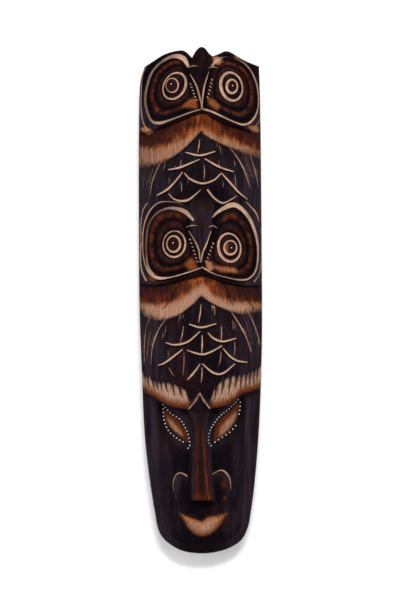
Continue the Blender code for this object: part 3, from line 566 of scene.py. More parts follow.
def resampled(line, count):
    """The same line with that many points."""
    share = np.linspace(0, len(line) - 1, count)
    return np.stack([np.interp(share, np.arange(len(line)), values) for values in line.T], axis=1)


OUTLINE = joined_loop(CREST_RIGHT, LOBE_RIGHT, SIDES_AND_CHIN, LOBE_LEFT, CREST_LEFT)
STEP_X = (MASK_HIGH[0] - MASK_LOW[0]) / np.ptp(OUTLINE[:, 0])
STEP_Z = (MASK_HIGH[2] - MASK_LOW[2]) / np.ptp(OUTLINE[:, 1])
FRINGE_BOTTOM = joined(FRINGE_LEFT, FOREHEAD, FRINGE_RIGHT)
LOWER_LIP_LOOP = joined_loop(SEAM_LEFT, SEAM_RIGHT, LOWER_LIP)
UPPER_LIP_LOOP = joined_loop(SEAM_LEFT, SEAM_RIGHT, UPPER_LIP)


def disc_loop(disc_points, beak_points):
    """The edge of a disc, closed along the side of the beak."""
    return joined_loop(disc_points, beak_points[:0:-1])


def log_front(spots, from_edge):
    """The plain front of the log half: arched across, with a flat down each side and a bevelled chin."""
    across, up = spots.T
    arch = 1 - np.clip(2 * np.abs(across) / DRAWING_WIDTH, 0, 1) ** 2.4
    depth = SIDE_DEPTH + (FRONT_DEPTH - SIDE_DEPTH) * arch
    depth -= FACET_DROP * ramp(np.abs(across), FACET_AT, FACET_END)
    depth -= CHIN_DROP * (1 - ramp(up, 0, CHIN_HEIGHT)) ** 2
    depth -= CHIN_BEVEL * (1 - ramp(from_edge, 0, CHIN_BEVEL_WIDTH)) * (1 - ramp(up, *CHIN_BEVEL_FADE))
    return depth


def round_the_eye(spots, disc_points, beak_points, eye):
    """For each spot its direction and distance from an eye, and how far the eye and its disc reach."""
    centre = np.array(eye[:2])
    offset = spots - centre
    direction = np.arctan2(offset[:, 1], offset[:, 0])
    away = np.linalg.norm(offset, axis=1)
    ring = reach(direction, centre, ellipse(eye))
    disc = reach(direction, centre, disc_loop(disc_points, beak_points))
    return direction, away, ring, disc


def owl_eye(spots, disc_points, beak_points, eye, pupil):
    """A raised disc with ridges round a domed eye."""
    _, away, ring, disc = round_the_eye(spots, disc_points, beak_points, eye)
    from_beak = np.abs(nearest_on(spots, smooth(beak_points))[0])
    rise = DISC_RISE * ramp(disc - away, -STEP_RUN, 0) * ease(from_beak, 0, DISC_FADE)
    share = np.clip((away - ring) / (disc - ring), 0, 1)
    in_disc = (away > ring) & (away < disc)
    rise -= in_disc * ramp(from_beak, *RIDGE_FADE) * RIDGE_RISE * np.cos(RIDGES * math.pi * share)
    rise += EYE_RISE * np.clip(1 - (away / ring) ** 2, 0, 1)
    rise += PUPIL_RISE * np.sqrt(np.clip(1 - ellipse_share(spots, pupil) ** 2, 0, 1))
    return rise


def beak(spots, left_points, right_points, fade_in):
    """A wedge down to the tip of the beak. It rises out of the forehead, or starts as the crest."""
    across, up = spots.T
    left, right = smooth(left_points), smooth(right_points)
    in_from_side = np.minimum(across - across_at(left, up), across_at(right, up) - across)
    above_tip = up > left[-1, 1] - 1
    fade = ease(left[0, 1] - up, 0, fade_in) if fade_in else 1
    return above_tip * fade * (BEAK_STEP * ramp(in_from_side, -STEP_RUN, 0)
                               + BEAK_RISE * ramp(in_from_side, 0, BEAK_SLOPE))


def band(spots, from_edge, top_points, left_points, right_points):
    """A collar that starts deep under the head, swells, and ends in a notch at the middle."""
    across, up = spots.T
    top = level(smooth(top_points), across)
    bottom = level(joined(left_points, right_points), across)
    share = (top - up) / (top - bottom)
    under_head = BAND_SINK * ramp(top - up, 0, STEP_RUN) * (1 - ease(share, 0, 0.6))
    under_head *= ramp(from_edge, 0, EDGE_FADE)
    swell = BAND_CREST * np.sin(math.pi * np.clip(share, 0, 1)) ** 0.7
    middle = 1 - ease(np.abs(across), *BAND_MIDDLE)
    below = bottom - up
    notch = NOTCH_DROP * middle * ramp(below, 0, STEP_RUN) * np.exp(-np.clip(below, 0, None) / NOTCH_RUN)
    return swell - (up < top) * (up > bottom) * under_head - notch


def breast(spots):
    """The swelling of each breast, and its scales, each standing over the one below."""
    across, up = spots.T
    rise = np.zeros(len(spots))
    for top, bottom in BREASTS:
        height = np.sin(math.pi * ramp(up, bottom, top)) ** 0.6
        rise += BREAST_RISE * height * (1 - ease(np.abs(across), *BREAST_SLOPE))
    for points in SCALES:
        line = smooth(points)
        chosen = near(spots, line, 30)
        distance, along = nearest_on(spots[chosen], line)
        taper = np.sin(math.pi * along) ** 0.6
        over = LIP_OF_SCALE * (distance >= 0) * np.exp(-distance / SCALE_RUN)
        fading = np.exp(-np.clip(-distance, 0, None) / UNDER_SCALE_RUN)
        fall = UNDER_SCALE * ramp(-distance, 0, STEP_RUN) * fading
        lip = (distance < 0) * LIP_OF_SCALE * (1 - ramp(-distance, 0, STEP_RUN))
        rise[chosen] += taper * (over + lip - fall)
    return rise


def fringe_and_brow(spots, from_edge):
    """The fringe swells to its lower edge, and the face lies deeper under it."""
    across, up = spots.T
    top = level(smooth(FRINGE_TOP), across)
    low = level(FRINGE_BOTTOM, across)
    rise = FRINGE_RISE * ease(top - up, 0, FRINGE_SWELL) * ramp(up - low, -STEP_RUN, 0)
    face = FACE_SINK * ramp(low - up, 0, STEP_RUN) * (0.25 + 0.75 * ramp(up, *FACE_SLOPE))
    return (rise - face) * (0.3 + 0.7 * ramp(from_edge, 0, EDGE_FADE))


def eye_of_face(spots, *spans):
    """A slanted almond in a soft hollow."""
    into = depth_in_loop(spots, joined_loop(*spans), margin=25)
    hollow = SOCKET_SINK * np.exp(-(np.clip(-into, 0, None) / SOCKET_RUN) ** 2)
    return EYEBALL_RISE * ramp(into, 0, EYEBALL_SLOPE) ** 0.6 - hollow


def nose_line():
    tip = [NOSE_LEFT[-1], NOSE_RIGHT[0]]
    return joined_loop(NOSE_ROOT_LEFT, NOSE_LEFT, tip, NOSE_RIGHT, NOSE_ROOT_RIGHT)


def nostril_rise(spots, wing):
    """A wing that is round above and runs out slowly below."""
    across, up, half_width, half_height = wing
    over = spots[:, 1] - up
    tall = np.where(over > 0, half_height, NOSTRIL_TAIL * half_height)
    share = np.hypot((spots[:, 0] - across) / half_width, over / tall)
    below = ramp(-over, 0, NOSTRIL_TAIL * half_height)
    return WING_RISE * np.sqrt(np.clip(1 - share**2, 0, 1)) * (1 - below) ** 1.5


def nose(spots):
    """A long ridge that stands further out toward its blunt tip, with a swollen wing at each side."""
    up = spots[:, 1]
    into = depth_in_loop(spots, nose_line(), margin=6)
    swelling = 0.13 + 0.87 * ramp(NOSE_SWELL_TOP - up, 0, NOSE_SWELL) ** 0.8
    stand = swelling * ramp(NOSE_TOP - up, 0, NOSE_TOP_SLOPE)
    rise = NOSE_RISE * stand * (0.88 * ramp(into, *NOSE_FLANK) + 0.12 * ramp(into, 0, NOSE_BACK))
    for wing in NOSTRILS:
        rise = np.maximum(rise, nostril_rise(spots, wing))
    return rise


def mouth(spots):
    """A swelling round the mouth, a full lower lip and a thin upper one."""
    rise = MOUTH_RISE * np.clip(1 - ellipse_share(spots, MOUTH_SWELL) ** 2, 0, 1) ** 2
    lower = depth_in_loop(spots, LOWER_LIP_LOOP, margin=4)
    upper = depth_in_loop(spots, UPPER_LIP_LOOP, margin=4)
    rise += LIP_RISE * ramp(lower, 0, LOWER_LIP_SLOPE) ** 0.6
    rise += 0.4 * LIP_RISE * ramp(upper, 0, UPPER_LIP_SLOPE)
    return rise


def carved_depth(spots, from_edge):
    """How far the carved front stands from the back plane, before the fine work."""
    depth = log_front(spots, from_edge)
    for disc, _, side, eye, pupil in OWL_EYES:
        chosen = near(spots, smooth(disc), 4)
        depth[chosen] += owl_eye(spots[chosen], disc, side, eye, pupil)
    for left, right, fade_in in BEAKS:
        depth += beak(spots, left, right, fade_in)
    for top, _, left, right, _ in BANDS:
        depth += band(spots, from_edge, top, left, right)
    depth += breast(spots)
    depth += fringe_and_brow(spots, from_edge)
    for upper, lower in FACE_EYES:
        depth += eye_of_face(spots, upper, lower)
    depth += nose(spots)
    depth += mouth(spots)
    return depth


class Stroke:
    """One cut of the gouge: a line, its half width along it, how bare it is and how deep."""

    def __init__(self, line, widths, bare, slope=GOUGE_SLOPE):
        self.line = line
        self.half_width = lambda along: 0.5 * np.interp(along, np.linspace(0, 1, len(widths)), widths)
        bares = np.atleast_1d(bare)
        self.bare = lambda along: np.interp(along, np.linspace(0, 1, len(bares)), bares)
        self.slope = slope

    def rows(self):
        """Its middle and its two edges."""
        walked = walked_along(self.line)
        half = self.half_width(walked / walked[-1])
        found = [self.line]
        if half.max() > SNAP:
            found += [beside(self.line, half), beside(self.line, -half)]
        return found


def varied_stroke(points, widths, inward):
    """A shallow cut whose width and bareness are given at each of its points."""
    shaped = smooth([(*place, *values) for place, values in zip(points, widths)])
    line, width, bare = shaped[:, :2], np.clip(shaped[:, 2], 0.3, None), np.clip(shaped[:, 3], 0, 1)
    return Stroke(beside(line, inward * width / 2), width, bare, 0.25 * GOUGE_SLOPE)


def disc_edge_stroke(disc_points, widths):
    """The bare edge that runs round a disc, just inside it."""
    return varied_stroke(disc_points, widths, -1 if disc_points[1][0] > 0 else 1)


def ring_stroke(shape, width, swell_at):
    """A gouged ring that swells towards one side."""
    line = closed(ellipse(shape))
    turn = np.linspace(0, 2 * math.pi, len(line))
    return Stroke(line, width * (1 + 0.3 * np.cos(turn - math.radians(swell_at))), 0.95)


def tick_strokes(first, last, count, length, lean):
    """A row of short slanted nicks."""
    angle = math.radians(lean)
    half = 0.5 * length * np.array([math.cos(angle), math.sin(angle)])
    return [Stroke(np.array([place - half, place, place + half]), (0.9, 1.3, 0.9), 0.9)
            for place in np.linspace(first, last, count)]


def feather_strokes(chance, inner, outer):
    """Fine strokes that turn one side line of a wing into the other, none quite alike."""
    first, last = resampled(smooth(inner), WING_POINTS), resampled(smooth(outer), WING_POINTS)
    found = []
    for index in range(1, HAIRS_IN_WING + 1):
        share = (index + chance.uniform(-0.25, 0.25)) / (HAIRS_IN_WING + 1)
        line = first * (1 - share) + last * share
        start = round(chance.uniform(0, 0.3) * WING_POINTS)
        end = round(chance.uniform(0.65, 1) * WING_POINTS)
        line = line[start:end] + np.array([chance.uniform(-0.4, 0.4), 0])
        found.append(Stroke(line, (0.3, chance.uniform(0.5, 0.9), 0.3), chance.uniform(0.08, 0.23)))
    return found


def gouge_strokes():
    """Every cut that laid the pale wood bare."""
    chance = np.random.default_rng(5)
    strokes = [Stroke(beside(smooth(points), 0.7), (1.1, 2.2, 1.9, 1.1), 0.95) for points in SCALES]
    for points, widths, bare in LONG_STROKES + WING_STROKES:
        strokes.append(Stroke(smooth(points), widths, bare))
    for x1, z1, x2, z2, width, bare in BREAST_STROKES:
        line = smooth([(x1, z1), (0.5 * (x1 + x2) + 0.4, 0.5 * (z1 + z2)), (x2, z2)])
        strokes.append(Stroke(line, (0.5 * width, width, 0.4 * width), 1.2 * bare))
    for disc, widths, *_ in OWL_EYES:
        strokes.append(disc_edge_stroke(disc, widths))
    strokes.append(varied_stroke(INNER_RING, INNER_RING_WIDTHS, 0))
    strokes += [ring_stroke(*ring) for ring in EYE_RINGS]
    for row in TICK_ROWS:
        strokes += tick_strokes(*row)
    for inner, outer in WINGS:
        strokes += feather_strokes(chance, inner, outer)
    return strokes


STROKES = gouge_strokes()
CUTS = [Stroke(smooth(points), (0.5 * width, width, 0.6 * width), 0) for points, width in DARK_CUTS]


def gap_strokes():
    """The dark notches cut down into the fringe, wide at the top."""
    found = []
    for x1, z1, x2, z2 in FRINGE_GAPS:
        line = smooth([(x1 - 0.3 * (x2 - x1), z1 + 3), (x1, z1), (x2, z2)])
        found.append(Stroke(line, (4, 2.5, 0.2), 0))
    return found


GAPS = gap_strokes()


def dot_places():
    """The middle of each painted dot."""
    places = list(GLINTS)
    for points, count in DOT_ROWS:
        line = smooth(points)
        walked = walked_along(line)
        for step in np.linspace(0, walked[-1], count):
            places.append(tuple(np.interp(step, walked, values) for values in line.T))
    return np.array(places)


DOTS = dot_places()


def strongest(spots, strokes):
    """How far each spot is inside a stroke, and how bare and how steep that stroke is."""
    into = np.full(len(spots), -2.0)
    bare = np.zeros(len(spots))
    slope = np.full(len(spots), GOUGE_SLOPE)
    for stroke in strokes:
        chosen = near(spots, stroke.line, 4)
        if len(chosen) == 0:
            continue
        distance, along = nearest_on(spots[chosen], stroke.line)
        value = stroke.half_width(along) - np.abs(distance)
        better = value > into[chosen]
        into[chosen[better]] = value[better]
        bare[chosen[better]] = stroke.bare(along[better])
        slope[chosen[better]] = stroke.slope
    return into, bare, slope


def dot_share(spots):
    """How far each spot is inside a painted dot."""
    tree = KDTree(len(DOTS))
    for index, (across, up) in enumerate(DOTS):
        tree.insert((across, up, 0), index)
    tree.balance()
    away = np.array([tree.find((across, up, 0))[2] for across, up in spots])
    return np.clip(DOT_RADIUS - away, -2, None)


def knife_marks(spots):
    """The slight waves that a carving knife leaves, longer up the grain than across it."""
    return mottle(spots, 7, 0, 19) + 0.5 * mottle(spots, 3, 5, 9)


def front_depth(spots, from_edge, into, slope, gap_into, cut_into, dot_into):
    """The carved front with its gouge strokes, knife marks and dots."""
    depth = carved_depth(spots, from_edge)
    depth += KNIFE_MARKS * knife_marks(spots)
    depth -= np.minimum(slope * np.clip(into, 0, None), DEEPEST_GOUGE)
    depth -= np.minimum(0.9 * GOUGE_SLOPE * np.clip(gap_into, 0, None), DEEPEST_GOUGE)
    depth -= GOUGE_SLOPE * np.clip(cut_into, 0, None)
    depth += DOT_RISE * np.sqrt(ramp(dot_into, 0, DOT_RADIUS))
    edge = np.clip(1 - from_edge / EDGE_ROUND, 0, 1)
    depth -= EDGE_ROUNDING * (1 - np.sqrt(1 - edge**2))
    return depth


def fringe_paint(spots):
    """The bare fringe: how pale, how orange and how rusty it is, browner towards its lower edge."""
    across, up = spots.T
    top = level(smooth(FRINGE_TOP), across)
    low = level(FRINGE_BOTTOM, across)
    away_from_middle = ramp(np.abs(across + 0.8), 8.5, 13)
    in_fringe = ramp(top - up, -0.6, 2.2) * ramp(up - low, -0.2, 1.2) * away_from_middle
    shade = 1 - ease(up - low, 0.5, 11)
    return in_fringe * (0.84 - 0.82 * shade), shade, in_fringe * (0.3 + 0.25 * shade)


def band_paint(spots, top_points, crest_points, left_points, right_points, bareness):
    """A band: how pale, how orange and how rusty. It is brown above its crest and bare below it."""
    across, up = spots.T
    top = level(smooth(top_points), across)
    crest = level(smooth(crest_points), across)
    bottom = level(joined(left_points, right_points), across)
    soft = 0.7 + 2.8 * ease(np.abs(across), 18, 56)
    lower_edge = ramp(up - bottom, -soft, soft)
    in_band = ramp(top - up, 0.6, 2.6) * lower_edge
    middle = np.exp(-(across / 22) ** 2)
    sides = ease(np.abs(across), 40, 62)
    streaky = mottle(spots, 2.5, 2, 11) + mottle(spots, 9, 4, 9)
    pale = in_band * ease(crest - up + 2.5 * streaky, -1 - 4 * middle, 6.5) * (1 - 0.25 * sides) * bareness
    rust = in_band * (0.12 + 0.53 * middle + 0.2 * ease(up - crest, 12, 0)) * (1 - 0.4 * sides)
    rust = rust * np.clip(1 + 0.9 * streaky, 0.3, 1.6)
    glow = np.clip(1.1 - bareness + 0.9 * (1 - ease(crest - up, -2, 9)), 0, 1)
    return pale, glow, rust


def disc_paint(spots, disc_points, beak_points, eye, pupil):
    """The rubbed brown ridges of a disc and the brown of its pupil."""
    direction, away, ring, disc = round_the_eye(spots, disc_points, beak_points, eye)
    share = (away - ring) / (disc - ring)
    from_beak = np.abs(nearest_on(spots, smooth(beak_points))[0])
    inner = 0.17 * np.exp(-((share - 0.2) / 0.07) ** 2)
    outer = 0.42 * np.exp(-((share - 0.56) / 0.085) ** 4)
    rust = (inner + outer) * ramp(from_beak, 6, 12) * (share < 1.02)
    uneven = mottle(spots, 8, 3, 8) + 0.7 * mottle(spots, 2.2, 7, 2.2)
    chatter = np.array([noise.noise((turn * 11, 9, part * 3)) for turn, part in zip(direction, share)])
    in_pupil = ramp(1.1 - ellipse_share(spots, pupil), 0, 0.2)
    return np.maximum(rust * np.clip(0.75 + uneven + 1.2 * chatter, 0.1, 1.8), 0.06 * in_pupil)


def nose_paint(spots):
    """The brown down the nose: worn facets and a worn tip, and a painted highlight along its right ridge,
    stronger towards the tip.
    """
    across, up = spots.T
    into = depth_in_loop(spots, nose_line(), margin=3)
    down = ramp(143 - up, 0, 90)
    left = across_at(smooth(NOSE_LEFT), up)
    right = across_at(smooth(NOSE_RIGHT[::-1]), up)
    share = (across - left) / (right - left)
    facet = 0.2 * np.exp(-((share - 0.28) / 0.1) ** 2)
    # A painted highlight along the right ridge
    shine = (0.2 + 0.45 * down) * np.exp(-((share - 0.64 - 0.16 * down) / 0.07) ** 2)
    bottom = 0.25 * np.exp(-((up - 57) / 4) ** 2)
    streaky = mottle(spots, 1.6, 6, 16)
    # Worn brown and painted highlight together
    worn = (0.05 + facet + shine + bottom) * np.clip(1 + 1.2 * streaky, 0.2, 2)
    return worn * ramp(into, -0.5, 1.5) * ramp(146 - up, 0, 30)


def eye_paint(spots, upper, lower):
    """The bare almond of an eye: how pale, how orange and how shaded. Under its lid it is brown paint with
    the lid's shadow painted in, and it is darker round its edge.
    """
    into = depth_in_loop(spots, joined_loop(upper, lower), margin=3)
    from_lid = np.abs(nearest_on(spots, smooth(upper))[0])
    pale = 0.8 * ramp(into, -0.3, 0.9)
    glow = 0.35 + 0.65 * (1 - ease(from_lid, 1, 6.5))
    # Painted shadow under the lid, and darker round the edge
    shade = 1.05 * (1 - ease(from_lid, 1, 5.5)) + 0.6 * (1 - ease(into, 0, 2.2))
    return pale, glow, np.clip(shade, 0, 1) * (into > -1)


def lip_paint(spots):
    """The bare lower lip: how pale, how orange and how shaded. It is browner at its right end."""
    across = spots[:, 0]
    into = depth_in_loop(spots, LOWER_LIP_LOOP, margin=3)
    pale = ramp(into, -0.4, 1)
    glow = 0.3 + 0.7 * (1 - ease(into, 0.5, 6))
    shade = 0.6 * ease(across, 12, 24) + 0.35 * (1 - ease(into, 0, 2.2))
    return pale, glow, np.clip(shade, 0, 1) * (into > -1)


def paint(spots):
    """For each spot how bare, how orange and how rusty the surface is. The rust also holds the painted
    highlight down the nose and the painted shadow under the eyes' lids.
    """
    pale = np.zeros(len(spots))
    glow = np.zeros(len(spots))
    rust = np.zeros(len(spots))

    def lay(new_pale, new_glow, new_rust=0):
        nonlocal pale, glow, rust
        glow = np.where(new_pale > pale, new_glow, glow)
        pale = np.maximum(pale, new_pale)
        rust = np.maximum(rust, new_rust)

    for lines in BANDS:
        lay(*band_paint(spots, *lines))
    lay(*fringe_paint(spots))
    for upper, lower in FACE_EYES:
        eye_pale, eye_glow, shade = eye_paint(spots, upper, lower)
        # The lid's painted shadow takes the pale away and lays brown in its place
        lay(eye_pale * (1 - 0.95 * shade), eye_glow, 0.5 * shade)
    lip_pale, lip_glow, shade = lip_paint(spots)
    blotches = mottle(spots, 4, 8, 4)
    lay(lip_pale * (0.9 - 0.7 * shade + 0.3 * blotches), lip_glow, shade * (lip_pale > 0))
    for points, soft, orange, strength in PATCHES:
        into = depth_in_loop(spots, np.array(points, float), margin=4)
        lay(strength * ramp(into, -soft, soft), np.full(len(spots), orange),
            min(1, 1.4 * strength) * ramp(into, -2 * soft, 0))
    for disc, _, side, eye, pupil in OWL_EYES:
        chosen = near(spots, smooth(disc), 3)
        rust[chosen] = np.maximum(rust[chosen], disc_paint(spots[chosen], disc, side, eye, pupil))
    # The nose's worn brown and its painted highlight, laid as rust
    rust = np.maximum(rust, nose_paint(spots))
    return pale, glow, rust


def disc_rows(disc_points, beak_points, eye):
    """The edge of the disc, its foot, and the tops and bottoms of its rings."""
    centre = np.array(eye[:2])
    ring = ellipse(eye)
    disc = disc_loop(disc_points, beak_points)
    direction = np.linspace(-math.pi, math.pi, round(2.2 * len(ring)), endpoint=False)
    unit = circle(direction)
    near_edge, far_edge = reach(direction, centre, ring), reach(direction, centre, disc)
    rows = [closed(ring), closed(disc)]
    for share in RIDGE_SHARES:
        row = centre + unit * (near_edge + share * (far_edge - near_edge))[:, None]
        turned = np.roll(row, -np.argmin(np.abs(row[:, 0])), axis=0)
        rows.append(turned[np.abs(turned[:, 0]) > 9])
    outer = smooth(disc_points)
    foot = outer + STEP_RUN * (outer - centre) / np.linalg.norm(outer - centre, axis=1)[:, None]
    return rows + [foot]


def dot_rows():
    """A ring and a middle for every dot."""
    ring = circle(np.linspace(0, 2 * math.pi, 7))
    rows = []
    for place in DOTS:
        rows += [place + DOT_RADIUS * ring, place[None]]
    return rows


def front_rows():
    """Every line along which the carving turns."""
    rows = []
    for disc, _, side, eye, pupil in OWL_EYES:
        rows += disc_rows(disc, side, eye)
        rows.append(closed(ellipse(pupil)))
    for left, right, _ in BEAKS:
        rows += [smooth(left), smooth(right)]
        rows += [beside(smooth(left), -STEP_RUN)[1:-2], beside(smooth(right), STEP_RUN)[1:-2]]
        rows.append((smooth(left) + resampled(smooth(right), len(smooth(left)))) / 2)
    for top, _, left, right, _ in BANDS:
        edge = smooth(top)
        notch = joined(left, right)
        rows += [edge, beside(edge, -STEP_RUN), notch, beside(notch, -STEP_RUN)]
    for points in SCALES:
        lip = smooth(points)
        rows += [lip, beside(lip, -STEP_RUN)]
    rows += [smooth(FRINGE_TOP), FRINGE_BOTTOM, beside(FRINGE_BOTTOM, -STEP_RUN)]
    for upper, lower in FACE_EYES:
        almond = closed(joined_loop(upper, lower))
        rows += [almond, beside(almond, 0.8)]
    sides = closed(nose_line())
    rows += [sides, beside(sides, -2.2)]
    for across, up, half_width, half_height in NOSTRILS:
        rows.append(ellipse((across, up, half_width, half_height, 0)))
    rows += [smooth(line) for line in (SEAM_LEFT, SEAM_RIGHT, LOWER_LIP, UPPER_LIP)]
    rows += [beside(smooth(LOWER_LIP), gap) for gap in (-0.8, -2)]
    for stroke in STROKES + CUTS + GAPS:
        rows += stroke.rows()
    rows += dot_rows()
    rows += [beside(closed(OUTLINE), -inset) for inset in (0.75, EDGE_ROUND)]
    return rows


def runs_inside(row):
    """The stretches of a row that stay clear of the outline."""
    kept = depth_in_loop(row, OUTLINE) > EDGE_CLEARANCE
    stretches = np.split(np.arange(len(row)), np.flatnonzero(np.diff(kept.astype(int))) + 1)
    return [row[stretch] for stretch in stretches if kept[stretch[0]]]


def fill_spots(spacing, taken):
    """An even spread of spots over the drawing, leaving out those near a row."""
    tree = KDTree(len(taken))
    for index, (across, up) in enumerate(taken):
        tree.insert((across, up, 0), index)
    tree.balance()
    found = []
    rows_up = spacing * math.sqrt(3) / 2
    for line in range(int(DRAWING_HEIGHT / rows_up) + 1):
        shift = spacing / 2 * (line % 2)
        for column in range(-int(DRAWING_WIDTH / spacing), int(DRAWING_WIDTH / spacing) + 1):
            spot = (column * spacing + shift, line * rows_up)
            if tree.find((*spot, 0))[2] > 0.6 * spacing:
                found.append(spot)
    found = np.array(found)
    return found[depth_in_loop(found, OUTLINE) > 0.45 * spacing]


def sheet(rows, spacing):
    """Triangles over the outline whose edges follow the rows. The outline's spots come first."""
    spots = [tuple(spot) for spot in OUTLINE]
    places = {}

    def spot_at(point):
        cell = (math.floor(point[0] / SNAP), math.floor(point[1] / SNAP))
        for close in ((a, b) for a in (-1, 0, 1) for b in (-1, 0, 1)):
            index = places.get((cell[0] + close[0], cell[1] + close[1]))
            if index is not None and math.dist(spots[index], point) < SNAP:
                return index
        places[cell] = len(spots)
        spots.append(tuple(point))
        return places[cell]

    edges = []
    for row in rows:
        for run in runs_inside(row):
            ids = [spot_at(point) for point in run]
            edges += [(a, b) for a, b in zip(ids, ids[1:]) if a != b]
    spots += [tuple(spot) for spot in fill_spots(spacing, spots)]
    loop = list(range(len(OUTLINE)))
    edges += list(zip(loop, loop[1:] + loop[:1]))
    made = delaunay_2d_cdt([Vector(spot) for spot in spots], edges, [], 0, 1e-5, True)
    flat = np.array([tuple(spot) for spot in made[0]])
    faces = np.array(made[2])
    faces = faces[inside(flat[faces].mean(axis=1), OUTLINE)]
    order = {}
    for index, sources in enumerate(made[3]):
        for source in sources:
            order.setdefault(source, index)
    return flat, faces, np.array([order[index] for index in loop])


def placed(spots, depth):
    across, up = spots.T
    return np.stack([across * STEP_X, -depth, (up - ORIGIN_UP) * STEP_Z], axis=1)


def hollow_loop(inset):
    """The line that far in from the edge of the hollow, straight across its top."""
    side = smooth(SIDES_AND_CHIN)
    line = beside(side, -(RIM_WIDTH + inset))
    line = line[line[:, 1] < HOLLOW_TOP - inset]
    first, last = line[0], line[-1]
    up = HOLLOW_TOP - inset
    top = np.linspace((last[0], up), (first[0], up), POINTS_IN_HOLLOW_TOP)
    return np.vstack([line, top])


def back_depth(spots, from_edge):
    """The gouged hollow, the drilled hole above it and the worn rim of the back."""
    across, up = spots.T
    into = depth_in_loop(spots, hollow_loop(0))
    depth = HOLLOW_DEPTH * np.sin(0.5 * math.pi * ramp(into, 0, HOLLOW_SLOPE))
    flutes = np.abs(np.sin(0.35 * across + 1.5 * mottle(spots, 20, 1, 40))) + 0.6 * mottle(spots, 6, 9, 10)
    depth -= SCALLOP_DEPTH * flutes * ramp(into, 0, 5)
    from_hole = np.hypot(across, up - HOLE_UP)
    depth = np.where(from_hole < HOLE_RADIUS, HOLE_DEPTH, depth)
    edge = np.clip(1 - from_edge / BACK_EDGE_ROUND, 0, 1)
    return np.maximum(depth, 0.5 * EDGE_ROUNDING * (1 - np.sqrt(1 - edge**2)))


def back_rows():
    """The edges of the hollow and of the hole, and the line along which the rim turns."""
    ring = circle(np.linspace(0, 2 * math.pi, 25))
    rows = [closed(hollow_loop(inset)) for inset in (0, HOLLOW_SLOPE / 3, HOLLOW_SLOPE)]
    rows += [(0, HOLE_UP) + radius * ring for radius in (HOLE_RADIUS - 0.01, HOLE_RADIUS + 0.4)]
    rows.append(beside(closed(OUTLINE), -BACK_EDGE_ROUND))
    return rows


def curvature(vertices, faces):
    """+ where the surface stands proud of its surroundings and - in its cuts, in millimetres."""
    ends = np.concatenate([faces[:, [0, 1]], faces[:, [1, 2]], faces[:, [2, 0]]])
    out = -1000 * vertices[:, 1]
    spread = out.copy()
    total = np.bincount(ends.ravel(), minlength=len(out))
    for _ in range(6):
        added = np.bincount(ends[:, 0], spread[ends[:, 1]], len(out))
        added += np.bincount(ends[:, 1], spread[ends[:, 0]], len(out))
        spread = added / np.maximum(total, 1)
    return out - spread


# The numbers of the three materials on the mesh
FRONT_KIND, SIDE_KIND, BACK_KIND = range(3)

# Values that aren't 0 off the front: far from every stroke and every dot
OFF_THE_FRONT = {"line": -2.0, "dots": -2.0}


def set_values(mesh, name, values):
    layer = mesh.attributes.new(name, "FLOAT", "POINT")
    layer.data.foreach_set("value", np.ascontiguousarray(values, np.float32))


def painted_sheen_amount(mesh):
    """How much sheen is painted, as a painted reflection of the lamps: on slopes that look sideways, and
    faintly on those that look up.
    """
    normals = np.empty(3 * len(mesh.vertices))
    mesh.vertices.foreach_get("normal", normals)
    aside, _, upward = normals.reshape(-1, 3).T
    return ramp(np.abs(aside), 0.12, 0.4) + 0.15 * ramp(upward, 0.05, 0.4)


def away_from_heads(spots):
    """1 on the plain parts and 0 on the discs and the crest, where no sheen is painted."""
    share = 1 - ramp(spots[:, 1], 440, 450)
    for disc, _, side, *_ in OWL_EYES:
        share = np.minimum(share, ramp(-depth_in_loop(spots, disc_loop(disc, side), margin=3), -1, 1))
    return share


def side_wall(front_ring, back_ring):
    """Rings of points at even steps from the front edge to the back edge."""
    shares = [row / SIDE_ROWS for row in range(1, SIDE_ROWS)]
    return [front_ring * (1 - share) + back_ring * share for share in shares]


def carved_front():
    """The front: its points, faces and edge, the values that its paint reads, and where sheen may be
    painted.
    """
    spots, faces, edge = sheet(front_rows(), FRONT_SPACING)
    from_edge = np.clip(depth_in_loop(spots, OUTLINE), 0, None)
    into, bare, slope = strongest(spots, STROKES)
    gap_into = strongest(spots, GAPS)[0]
    cut_into = strongest(spots, CUTS)[0]
    dot_into = dot_share(spots)
    depth = front_depth(spots, from_edge, into, slope, gap_into, cut_into, dot_into)
    pale, glow, rust = paint(spots)
    dark = np.maximum(ramp(gap_into, -0.25, 0.25), ramp(cut_into, -0.3, 0.3))
    pale, rust = pale * (1 - dark), rust * (1 - 0.9 * dark)
    # The rust carries the painted highlight down the nose and the painted shadow under the eyes' lids
    values = {"line": into, "bare": bare, "pale": pale, "glow": glow, "rust": rust, "dots": dot_into}
    # Painted sheen goes only off the heads and off the rusty paint
    waxy_sheen = away_from_heads(spots) * (1 - ramp(rust, 0, 0.15))
    return placed(spots, depth), faces, edge, values, waxy_sheen


def carved_back():
    """The back: its points, faces and edge."""
    spots, faces, edge = sheet(back_rows(), BACK_SPACING)
    from_edge = np.clip(depth_in_loop(spots, OUTLINE), 0, None)
    return placed(spots, back_depth(spots, from_edge)), faces[:, ::-1], edge


def stitched(rings):
    """Two triangles for each step round the side, between one ring of point numbers and the next."""
    faces = []
    for one, two in zip(rings, rings[1:]):
        one_next, two_next = np.roll(one, -1), np.roll(two, -1)
        faces.append(np.stack([one, one_next, two_next], axis=1))
        faces.append(np.stack([one, two_next, two], axis=1))
    return np.vstack(faces)


